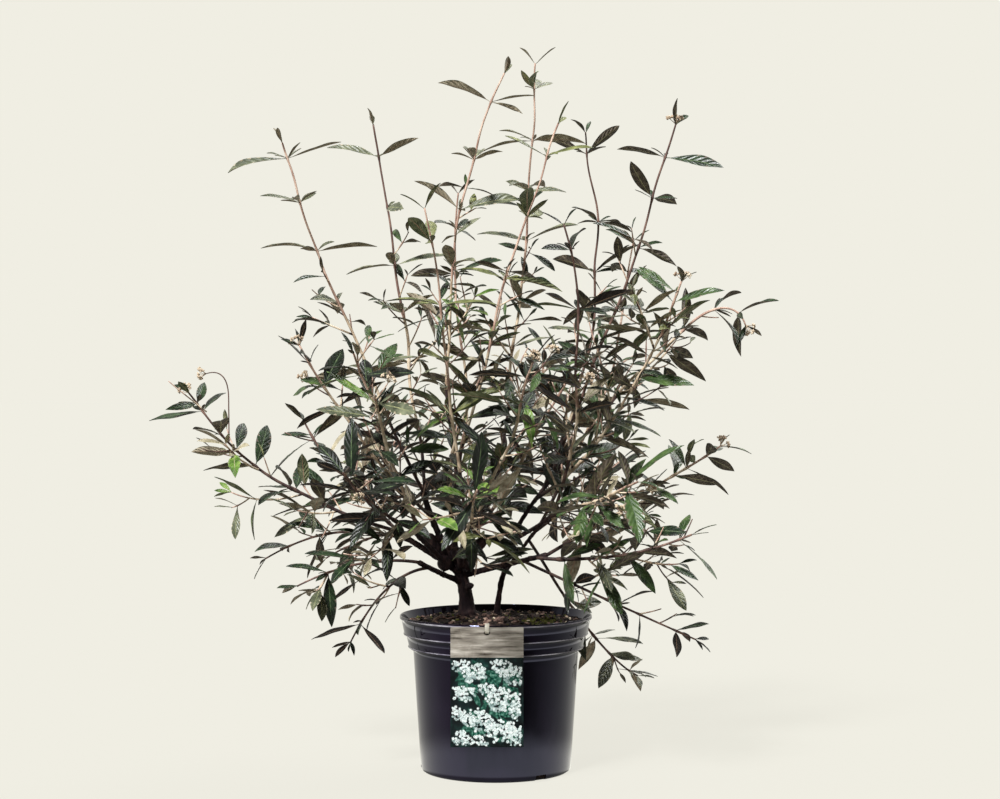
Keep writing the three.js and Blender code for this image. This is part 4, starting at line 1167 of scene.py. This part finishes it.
# %% Heads on the tips that the plan names, and on the twig tips nearest to these places (x, z)
HEAD_SIZE, EXTRA_SIZE, HEAD_RISE, HEAD_SEED = 13, 0.85, 0.5, 55
TIP_FRONT, TIP_DEPTH = -160, 0.45
EXTRA_HEADS = [
    (-423, 577), (-285, 538), (-154, 574), (147, 542), (302, 552), (210, 448), (162, 338),
    (-196, 420), (60, 610),
]
heads = [(mass["stem"].frame(1), HEAD_SIZE) for mass in masses if mass["name"] in BUDDED]
tips = [bend.frame(1) for mass in masses for _, bend in mass["twigs"] + mass["finer_twigs"]]


def tip_rank(place, at):
    return apart_in_view(place, at) + TIP_DEPTH * max(0, at[1] - TIP_FRONT)


for place in EXTRA_HEADS:
    heads.append((min(tips, key=lambda tip: tip_rank(place, tip[0])), HEAD_SIZE * EXTRA_SIZE))
bud_patch, ray_patch = Patch(), Patch()
head_draw = draws_from(HEAD_SEED)
for (at, along, side, up), size in heads:
    bud_head(bud_patch, ray_patch, at, unit(along + HEAD_RISE * Z), size, head_draw)
bud_material = twig_finish("bud_scales", (146, 118, 98), (206, 186, 160), (236, 222, 198))
bud_patch.make("flower_buds", [bud_material], "foliage", sways=True)
ray_patch.make("bud_rays", [mature_bark], "foliage", sways=True)
print("bud heads:", len(heads))

# %% [markdown]
# ## Bark of the trunk and boughs
#
# The old wood is dark purplish brown, with knobs where branches were, and rough flaking bark.
# Separate tubes would meet in hard creases. Here the tubes are joined and remade as one skin,
# which is smoothed until the forks flow into each other, and then roughened along its length.

# %% The limbs as tubes, swollen at the foot and where a bough leaves its parent
SKIN_VOXEL = 0.0011
LIMB_AROUND, LIMB_STEP = 16, 4
LOBES, LOBE_TURN, LOBE_DEPTH, LOBE_FADE = 3, 0.7, 0.16, 16  # the trunk's foot is ribbed by its roots
BASE_SWELL, BASE_REACH, TIP_SWELL, TIP_REACH = 0.25, 9, 0.22, 7
old_wood = Patch()
around_limb = np.arange(LIMB_AROUND) * 2 * math.pi / LIMB_AROUND
for name, bend in bends.items():
    radius_at, on_foot = limb_radius(name), LIMBS[name][0] is None
    steps = max(8, int(bend.length / LIMB_STEP))
    corners = []
    for i in range(steps + 1):
        t = i / steps
        at, along, side, up = bend.frame(t)
        from_foot = t * bend.length
        if on_foot:
            ribs = LOBE_DEPTH * np.cos(LOBES * around_limb + LOBE_TURN) * math.exp(-from_foot / LOBE_FADE)
            radii = radius_at(t) * (1 + ribs)
        else:
            knob = TIP_SWELL * math.exp(-(((1 - t) * bend.length / TIP_REACH) ** 2))
            base = BASE_SWELL * math.exp(-((from_foot / BASE_REACH) ** 2))
            radii = np.full(LIMB_AROUND, radius_at(t) * (1 + base + knob))
        corners.append(at + radii[:, None] * circle(side, up, LIMB_AROUND))
    old_wood.add(np.vstack(corners), ring_faces(steps + 1, LIMB_AROUND))

# %% Knobs and cut stubs at the fork: middle, then where it points, in millimetres, and radius
KNOB_RINGS, KNOB_END, KNOB_BLUNT = 7, (0.2, 0.8), 2.4
KNOBS = [
    ((-60, 34, 298), (-58, 34, 320), 15), ((-68, 26, 290), (-82, 16, 304), 11),
    ((-48, 26, 292), (-34, 18, 304), 11), ((-30, 34, 316), (-14, 38, 338), 8),
    ((-86, 26, 316), (-100, 20, 340), 8), ((-74, 30, 306), (-90, 24, 326), 8),
    ((-46, 34, 308), (-30, 34, 326), 8), ((-58, 16, 304), (-56, -2, 320), 8),
    ((-44, 24, 262), (-34, 12, 266), 5), ((-50, 44, 282), (-46, 62, 292), 7),
    ((26, 20, 342), (34, 8, 352), 6.5),
]
for middle, end, radius in KNOBS:
    bend = Bend(middle, np.add(middle, end) / 2, end)
    rings = []
    for t in np.linspace(0, 1, KNOB_RINGS):
        at, along, side, up = bend.frame(t)
        share = varied(KNOB_END, math.sqrt(max(0, 1 - abs(2 * t - 1) ** KNOB_BLUNT)))
        rings.append(at + radius * share * circle(side, up, LIMB_AROUND))
    old_wood.add(np.vstack(rings), ring_faces(KNOB_RINGS, LIMB_AROUND))
print("knobs:", len(KNOBS))

# %% Old bark, and the tubes made one skin
old_bark = finish(
    "old_bark", {0.3: (20, 13, 17), 0.48: (44, 30, 34), 0.62: (76, 56, 54), 0.8: (124, 100, 90)},
    (130, 6, (1, 1, 0.4), 0.65), 0.8, 0.35, dull=((260,), 0.62, 0.92),
    bumps=[((420, 5, (1, 1, 0.3)), 0.0012, 0.8), ((1500, 2), 0.0004, 0.5)], base=(62, 44, 44),
)
bark_piece = old_wood.make("bark", [old_bark], "bark", sways=True)


def apply_modifiers(piece):
    """Keep the mesh as the modifiers leave it, and drop them."""
    seen = piece.evaluated_get(bpy.context.evaluated_depsgraph_get())
    mesh = bpy.data.meshes.new_from_object(seen)
    materials = [slot.material for slot in piece.material_slots]
    slots = np.zeros(len(mesh.polygons), np.int32)
    mesh.polygons.foreach_get("material_index", slots)
    piece.modifiers.clear()
    piece.data = mesh
    mesh.materials.clear()  # this also puts every face back to the first material
    for material in materials:
        mesh.materials.append(material)
    mesh.polygons.foreach_set("material_index", slots)
    mesh.polygons.foreach_set("use_smooth", [True] * len(mesh.polygons))


remesh = bark_piece.modifiers.new("one_skin", "REMESH")
remesh.mode, remesh.voxel_size = "VOXEL", SKIN_VOXEL
smooth = bark_piece.modifiers.new("soften", "SMOOTH")
smooth.factor, smooth.iterations = 0.5, 5
apply_modifiers(bark_piece)

# %% Roughen the skin: long ridges, flakes and small knots
RIDGE, FLAKE, KNOT, KNOT_FROM = 0.55, 0.3, 2.4, 0.25  # heights in millimetres
PATTERNS = [(3.2, 11, 0), (1.6, 3.4, 40), (9, 9, 90)]  # width, length along the limb, the field's place


def read_corners(vectors, key):
    values = np.zeros(len(vectors) * 3, np.float32)
    vectors.foreach_get(key, values)
    return values.reshape(-1, 3)


skin = bark_piece.data
skin_corners, skin_normals = read_corners(skin.vertices, "co"), read_corners(skin.vertex_normals, "vector")
heights = []
for x, y, z in skin_corners * 1000:
    ridge, flake, knot = (
        noise.noise(Vector((x / width, y / width, z / length + field))) for width, length, field in PATTERNS
    )
    heights.append((RIDGE * ridge + FLAKE * flake + KNOT * max(0, knot - KNOT_FROM)) / 1000)
skin_corners += skin_normals * np.array(heights, np.float32)[:, None]
skin.vertices.foreach_set("co", skin_corners.ravel())
skin.update()
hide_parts(*LIMBS)
print("bark faces:", len(skin.polygons))

# %% [markdown]
# ## The pot
#
# A nursery pot is moulded in glossy dark plastic: a tapered body with two stepped bands under a
# rolled rim, and notches at the foot to drain. Stacked cylinders would give the bands, but with
# hard edges. Turning one profile round the axis, as the mould was turned, gives every band at
# once with its rounded corners.

# %% The pot's profile, outside and then inside, in millimetres
PROFILE = [
    (0, 3.2), (70, 3.2), (74, 1.2), (80, 0.3), (103, 0), (106.6, 0.6), (108.6, 2.4), (109.2, 5),
    (109.6, 10), (112.4, 52), (115.6, 100), (118.6, 148), (120, 169.5), (120.3, 173.5), (120.9, 176.2),
    (122.4, 177.4), (125.4, 177.6), (127.2, 178.1), (127.9, 179.3), (127.6, 180.6), (127, 181.6),
    (130.2, 194.4), (130.7, 195.8), (131.8, 196.4), (133.6, 196.9), (134.5, 198), (134.3, 199.5),
    (133.8, 200.6), (136.4, 213), (136.9, 216), (137.6, 218.4), (138.9, 219.4), (139.8, 220.8),
    (140, 222.8), (139.7, 224.3), (138.9, 225), (138, 224.9), (137.5, 224), (137, 222), (134.8, 216),
    (130.2, 199.6), (129, 197.6), (127.2, 196), (123.2, 181.4), (121.6, 180.3), (119.4, 178.6),
    (118.6, 176), (106.8, 4.4), (104, 2.6), (0, 2.4),
]
PAINTED_HIGHLIGHT_LIPS = {(127.9, 179.3), (134.5, 198), (139.8, 220.8)}  # the lips, painted pale as a highlight line, start at these points
POT_AROUND, POT_SHARP = 144, 50


def turned_profile(profile, around):
    """A closed turned shape: the first and last points lie on the axis."""
    rings = [radius * circle(X, Y, around) + height * Z for radius, height in profile[1:-1]]
    ends = [(0, 0, profile[0][1]), (0, 0, profile[-1][1])]
    faces = ring_faces(len(rings), around, False)
    # faces that start at a lip point take the painted highlight
    slots = [int(point in PAINTED_HIGHLIGHT_LIPS) for point in profile[1:-2] for _ in range(around)] + [0] * (2 * around)
    low, last = len(rings) * around, (len(rings) - 1) * around
    for j in range(around):
        k = (j + 1) % around
        faces += [(low, k, j), (low + 1, last + j, last + k)]
    patch = Patch()
    patch.add(np.vstack(rings + [ends]), faces, slots)
    return patch


# %% Pot finishes: near-black violet plastic, polished by the mould, and a painted highlight along its lips
pot_plastic = finish(
    "pot_plastic", {0.25: (15, 10, 18), 0.5: (21, 15, 26), 0.75: (32, 24, 38)},
    (14, 5, (1, 1, 0.5)), 0.05, 0.6, dull=((60, 5, (1, 1, 0.25)), 0.03, 0.07),
    bumps=[((18, 2, (1, 1, 0.4)), 0.0006, 0.16)], base=(24, 20, 34),
    **{"Specular Tint": tint(206, 210, 250)},
)
# Painted highlight: the pale lips stand for the bright lines that light draws along the rims
lip_highlight_paint = finish(
    "pot_rubbed_lip", {0.3: (52, 46, 60), 0.45: (128, 124, 138), 0.7: (206, 204, 212)},
    (26, 4), 0.35, 0.5, dull=((300,), 0.25, 0.5), base=(110, 106, 118),
)
pot_piece = turned_profile(PROFILE, POT_AROUND).make("pot_moulded", [pot_plastic, lip_highlight_paint], "pot")

# %% Cut the drain notches
DRAIN_ANGLES = (-174, -54, 66)
DRAIN_WIDTH, DRAIN_DEPTH, DRAIN_HEIGHT, DRAIN_FROM, FOOT_RADIUS = 18, 14, 8, -6, 109
BOX_FACES = [(0, 1, 3, 2), (4, 6, 7, 5), (0, 4, 5, 1), (2, 3, 7, 6), (0, 2, 6, 4), (1, 5, 7, 3)]
notches = Patch()
for angle in DRAIN_ANGLES:
    turn = math.radians(angle)
    out = np.array((math.cos(turn), math.sin(turn), 0))
    across = np.array((-math.sin(turn), math.cos(turn), 0))
    corners = [
        out * (FOOT_RADIUS + x * DRAIN_DEPTH / 2) + across * (y * DRAIN_WIDTH / 2) + Z * z
        for x in (-1, 1) for y in (-1, 1) for z in (DRAIN_FROM, DRAIN_HEIGHT)
    ]
    notches.add(corners, BOX_FACES)
notch_mesh = bpy.data.meshes.new("notches")
notch_mesh.from_pydata((np.vstack(notches.corners) / 1000).tolist(), [], notches.faces)
notch_tool = bpy.data.objects.new("notches", notch_mesh)
bpy.context.collection.objects.link(notch_tool)
cut = pot_piece.modifiers.new("notches", "BOOLEAN")
cut.operation, cut.solver, cut.object = "DIFFERENCE", "EXACT", notch_tool
apply_modifiers(pot_piece)
bpy.data.objects.remove(notch_tool)
pot_piece.data.set_sharp_from_angle(angle=math.radians(POT_SHARP))
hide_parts("pot")
print("pot faces:", len(pot_piece.data.polygons))

# %% [markdown]
# ## Compost
#
# The compost is dark and damp, a loose mix of peat, bark chips and crumbs, a little mossy. Bumps
# alone on the plain solid would keep its edge straight. So a rough skin lies over the solid, and
# a few hundred chips and crumbs are strewn on it, each an uneven lump with its own turn, all
# joined into one piece for each colour.

# %% The rough skin
SOIL_TOP, SOIL_FLAT, SOIL_SLOPE, SOIL_DROP = 219, 85, 45, 7  # a flat middle, then a slope to the wall
SOIL_LIFT, SOIL_UNDER, SOIL_TAPER = 1.6, 203, 0.975
SOIL_ROUGHNESS = [(1.3, 22, 3), (1.0, 7, 8), (0.7, 2.6, 14)]  # height, length, the field's place
SOIL_RINGS, SOIL_AROUND, SOIL_REACH = 64, 200, 132.6


def soil_height(x, y):
    slope = max(0, math.hypot(x, y) - SOIL_FLAT) / SOIL_SLOPE
    height = SOIL_TOP - SOIL_DROP * min(1, slope) + SOIL_LIFT
    for high, long, field in SOIL_ROUGHNESS:
        height += high * noise.noise(Vector((x / long, y / long, field)))
    return height


soil_corners = [(0, 0, soil_height(0, 0))]
for i in range(1, SOIL_RINGS + 1):
    radius = SOIL_REACH * i / SOIL_RINGS
    for j in range(SOIL_AROUND):
        a = 2 * math.pi * (j + 0.5 * (i % 2)) / SOIL_AROUND
        x, y = radius * math.cos(a), radius * math.sin(a)
        soil_corners.append((x, y, soil_height(x, y)))
soil_corners += [(x * SOIL_TAPER, y * SOIL_TAPER, SOIL_UNDER) for x, y, z in soil_corners[-SOIL_AROUND:]]
soil_corners.append((0, 0, SOIL_UNDER))
steps_around = [(j, (j + 1) % SOIL_AROUND) for j in range(SOIL_AROUND)]
soil_faces = [(0, 1 + j, 1 + k) for j, k in steps_around]
for i in range(SOIL_RINGS):
    low, high = 1 + i * SOIL_AROUND, 1 + (i + 1) * SOIL_AROUND
    soil_faces += [(low + j, high + j, high + k, low + k) for j, k in steps_around]
soil_faces += [(len(soil_corners) - 1, high + k, high + j) for j, k in steps_around]
soil = Patch()
soil.add(soil_corners, soil_faces)


# %% Compost finishes
def crumb_finish(name, *tones, roughness=0.92):
    return finish(
        name, tones3(*tones), (160, 5), roughness, 0.25,
        dull=((400,), roughness - 0.15, roughness + 0.05), bumps=[((700, 4), 0.0012, 0.8)],
    )


def dress(node, material):
    """Give a plain solid its finish."""
    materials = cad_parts[node].data.materials
    materials.clear()
    materials.append(material)


peat = crumb_finish("peat", (19, 13, 13), (44, 32, 29), (88, 68, 60))
soil.make("compost_surface", [peat], "compost")
dress("compost", peat)

# %% Chips, crumbs and moss strewn on it
LUMP_CORNERS, LUMP_FACES = icosphere(2)
STREW_SEED, STREW_REACH, LUMP_TILT, LUMP_SHARP, LUMP_SUNK = 77, 128, 0.9, 40, 0.3
LUMP_WIDTH, LUMP_HEIGHT, LUMP_WOBBLE, LUMP_BLUNT = (0.4, 0.4), (0.6, 0.8), 0.35, 0.75


def turn_matrix(draw):
    turn = Matrix.Rotation(draw() * 6.28, 3, "Z")
    for axis in "XY":
        turn = turn @ Matrix.Rotation((draw() - 0.5) * LUMP_TILT, 3, axis)
    return np.array(turn)


def strew(patch, count, sizes, flatness, draw, middle=(0, 0), reach=STREW_REACH):
    for _ in range(count):
        radius, angle = reach * math.sqrt(draw()), draw() * 2 * math.pi
        x, y = middle[0] + radius * math.cos(angle), middle[1] + radius * math.sin(angle)
        size = sizes[0] + (sizes[1] - sizes[0]) * draw() ** 2
        width, height = varied(LUMP_WIDTH, draw()), varied(LUMP_HEIGHT, draw())
        shape = np.array((size, size * width, size * flatness * height))
        wobble = 1 + LUMP_WOBBLE * (np.array([draw() for _ in LUMP_CORNERS]) - 0.5)
        blunt = np.sign(LUMP_CORNERS) * np.abs(LUMP_CORNERS) ** LUMP_BLUNT
        lump = (blunt * wobble[:, None] * shape) @ turn_matrix(draw).T
        patch.add(lump + (x, y, soil_height(x, y) + LUMP_SUNK * shape[2]), LUMP_FACES)


# For each: how many, sizes, flatness, roughness, and the finish's name and tones
STREWN = {
    "bark_chips": (150, (2.5, 7.5), 0.3, 0.85, "bark_chip", (62, 46, 44), (134, 106, 96), (196, 170, 150)),
    "pale_chips": (58, (1.6, 5), 0.3, 0.85, "pale_chip", (158, 136, 114), (210, 190, 162), (238, 226, 202)),
    "compost_crumbs": (330, (1, 3.2), 0.7, 0.92, "crumb", (12, 9, 9), (26, 20, 18), (54, 42, 37)),
    "moss_crumbs": (60, (1.2, 3.4), 0.6, 0.92, "moss", (52, 56, 24), (98, 100, 46), (150, 148, 86)),
}
MOSS_COUNT, MOSS_PATCH, MOSS_REACH = 150, (72, -52), 36
strew_draw = draws_from(STREW_SEED)
for name, (count, sizes, flatness, roughness, *named_tones) in STREWN.items():
    strewn = Patch()
    strew(strewn, count, sizes, flatness, strew_draw)
    if name == "moss_crumbs":
        strew(strewn, MOSS_COUNT, sizes, flatness, strew_draw, MOSS_PATCH, MOSS_REACH)
    strewn.make(name, [crumb_finish(*named_tones, roughness=roughness)], "compost", LUMP_SHARP)

# %% [markdown]
# ## Label
#
# The label is a laminated card: a band printed like weathered boards above a picture of white
# blossom on dark leaves. The boards and the ground are the card's own finish, worked out from
# height. A finish can't place single flowers, so the blossom and leaves are thin raised shapes
# in front, like an embossed print.

# %% The card's finish: boards above, dark leafy ground below
LABEL_MIDDLE, LABEL_HALF, LABEL_FOOT, BAND_FOOT = -12, 50.5, 57, 181
LABEL_FACE = -141.1
BOARDS = {0.32: (74, 68, 60), 0.43: (134, 127, 117), 0.57: (172, 165, 154), 0.72: (216, 210, 200)}
GROUND = {0.36: (3, 9, 11), 0.5: (8, 22, 24), 0.62: (18, 48, 44), 0.76: (52, 92, 82)}
PRINT_DULL = (0.24, 0.36)

card = finish(
    "label_card", GROUND, (75, 5, None, 0.6), 0.3, 0.5, dull=((30,), *PRINT_DULL),
    bumps=[((18, 2), 0.0006, 0.3)], base=(120, 108, 94),
)
card_tree = card.node_tree
card_color = card_tree.nodes["Principled BSDF"].inputs["Base Color"]
ground = card_color.links[0].from_socket
boards = color_steps(card_tree, noise_field(card_tree, 24, 6, (1, 1, 9), 0.6), BOARDS)
spot = add_node(card_tree, "TexCoord").outputs["Object"]
height = add_node(card_tree, "SeparateXYZ", {"Vector": spot}).outputs["Z"]
above = math_step(card_tree, "GREATER_THAN", height, BAND_FOOT / 1000)
mixed = add_node(card_tree, "Mix", {"Factor": above, "A": ground, "B": boards}, data_type="RGBA")
put(card_tree, card_color, mixed.outputs["Result"])
dress("label", card)


# %% Flat raised shapes on the card
def raised_shape(patch, outline, x, z, depth, thickness=0.12):
    """outline: points round the middle, in order; depth: how far its back stands out from the card."""
    count = len(outline)
    back = np.array([(x + a, LABEL_FACE - depth, z + b) for a, b in outline])
    front = back - (0, thickness, 0)
    faces = [tuple(range(count, 2 * count)), tuple(range(count))[::-1]]
    faces += [(j, (j + 1) % count, count + (j + 1) % count, count + j) for j in range(count)]
    patch.add(np.vstack((back, front)), faces)


PETALS, FLORET_CORNERS, FLORET_REACH = 5, 15, (0.6, 0.4)
PRINT_HALF, PRINT_LEAN, PRINT_STEPS = 0.15, 0.85, 9  # a printed leaf's half width, lean and corners


def floret(radius, turn):
    angles = np.arange(FLORET_CORNERS) * 2 * math.pi / FLORET_CORNERS
    reach = radius * varied(FLORET_REACH, np.abs(np.cos(PETALS / 2 * angles)))
    return [(r * math.cos(a + turn), r * math.sin(a + turn)) for r, a in zip(reach, angles)]


def leaf_outline(length, turn):
    shares = np.linspace(0, 1, PRINT_STEPS)
    half = PRINT_HALF * length * np.sin(np.pi * shares**PRINT_LEAN)
    points = list(zip(shares * length, half)) + list(zip(shares[-2:0:-1] * length, -half[-2:0:-1]))
    c, s = math.cos(turn), math.sin(turn)
    return [(a * c - b * s, a * s + b * c) for a, b in points]


def inside_card(x, z, reach):
    inside = LABEL_FOOT + 1 < z - reach and z + reach < BAND_FOOT - 1
    return inside and abs(x - LABEL_MIDDLE) + reach < LABEL_HALF - 1


# %% The print: leaves at random, and clusters of florets (middle x and z, reach) over them
CARD_SEED, LEAF_TRIALS, FLORETS_PER_AREA, SHADED = 31, 84, 0.25, 0.6
PRINT_LEAF, RAGGED, FLORET = (17, 12), (0.86, 0.3), (1.3, 1.3)  # the least, and what a draw adds
LEAVES_HALF, LEAVES_FROM, LEAVES_TALL, LEAF_EDGE, CLUSTER_TALL = 44, 6, 112, 3, 0.7
FLORET_DEPTH, LIT_DEPTH, EYE_DEPTH = (0.35, 0.3), 0.12, 0.05
CLUSTERS = [
    (-50, 172, 15), (-30, 160, 19), (8, 169, 15), (27, 158, 21), (-45, 131, 17), (-14, 137, 12),
    (10, 122, 24), (33, 106, 16), (-54, 104, 13), (-26, 95, 21), (6, 80, 22), (30, 72, 18),
    (-50, 70, 15), (-24, 64, 12),
]
EYE = [(0.5 * math.cos(a), 0.5 * math.sin(a)) for a in np.arange(6) * math.pi / 3]
card_draw = draws_from(CARD_SEED)
card_blossom, card_shade, card_leaves, card_eyes = Patch(), Patch(), Patch(), Patch()
for i in range(LEAF_TRIALS):
    x = LABEL_MIDDLE + (card_draw() * 2 - 1) * LEAVES_HALF
    z = LABEL_FOOT + LEAVES_FROM + card_draw() * LEAVES_TALL
    length, turn = varied(PRINT_LEAF, card_draw()), card_draw() * 2 * math.pi
    ends = [(x, z), (x + length * math.cos(turn), z + length * math.sin(turn))]
    if all(inside_card(a, b, LEAF_EDGE) for a, b in ends):
        raised_shape(card_leaves, leaf_outline(length, turn), x, z, 0.02 + 0.01 * i % 0.3)
for cx, cz, reach in CLUSTERS:
    count = int(reach**2 * FLORETS_PER_AREA)
    for i in range(count):
        turn, ragged = card_draw() * 2 * math.pi, varied(RAGGED, card_draw())
        lean, size = reach * math.sqrt(card_draw()) * ragged, varied(FLORET, card_draw())
        x, z = cx + lean * math.cos(turn), cz + CLUSTER_TALL * lean * math.sin(turn)
        if not inside_card(x, z, size):
            continue
        in_shade = z < cz - 0.1 * reach and card_draw() < SHADED
        depth = varied(FLORET_DEPTH, i / count) + (0 if in_shade else LIT_DEPTH)
        raised_shape(card_shade if in_shade else card_blossom, floret(size, card_draw() * 6), x, z, depth)
        if i % 2:
            raised_shape(card_eyes, EYE, x, z, depth + EYE_DEPTH)

# %% Make the print: each piece, with its finish's name and tones
PRINT_SHARP = 30
PRINTS = {
    "label_leaves": (card_leaves, "print_leaves", (6, 30, 26), (26, 82, 66), (112, 164, 146)),
    "label_blossom": (card_blossom, "print_blossom", (178, 197, 195), (224, 236, 234), (252, 254, 253)),
    "label_blossom_shade": (card_shade, "print_shade", (108, 136, 134), (158, 180, 178), (200, 214, 212)),
    "label_blossom_eyes": (card_eyes, "print_eyes", (30, 44, 36), (66, 82, 60), (120, 130, 92)),
}
for name, (patch, finish_name, *tones) in PRINTS.items():
    ink = finish(finish_name, tones3(*tones), (240,), 0.3, 0.5, dull=((40,), *PRINT_DULL))
    patch.make(name, [ink], "label", PRINT_SHARP)

# %% The strip: matt off-white plastic, softly rounded
strip_plastic = finish(
    "strip_plastic", tones3((186, 176, 156), (220, 214, 198), (236, 232, 220)), (120, 4), 0.4, 0.4,
    bumps=[((500, 2), 0.0003, 0.4)], base=(222, 216, 200),
)
dress("label_strip", strip_plastic)
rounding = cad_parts["label_strip"].modifiers.new("rounded", "BEVEL")
rounding.width, rounding.segments, rounding.limit_method = 0.0004, 2, "ANGLE"
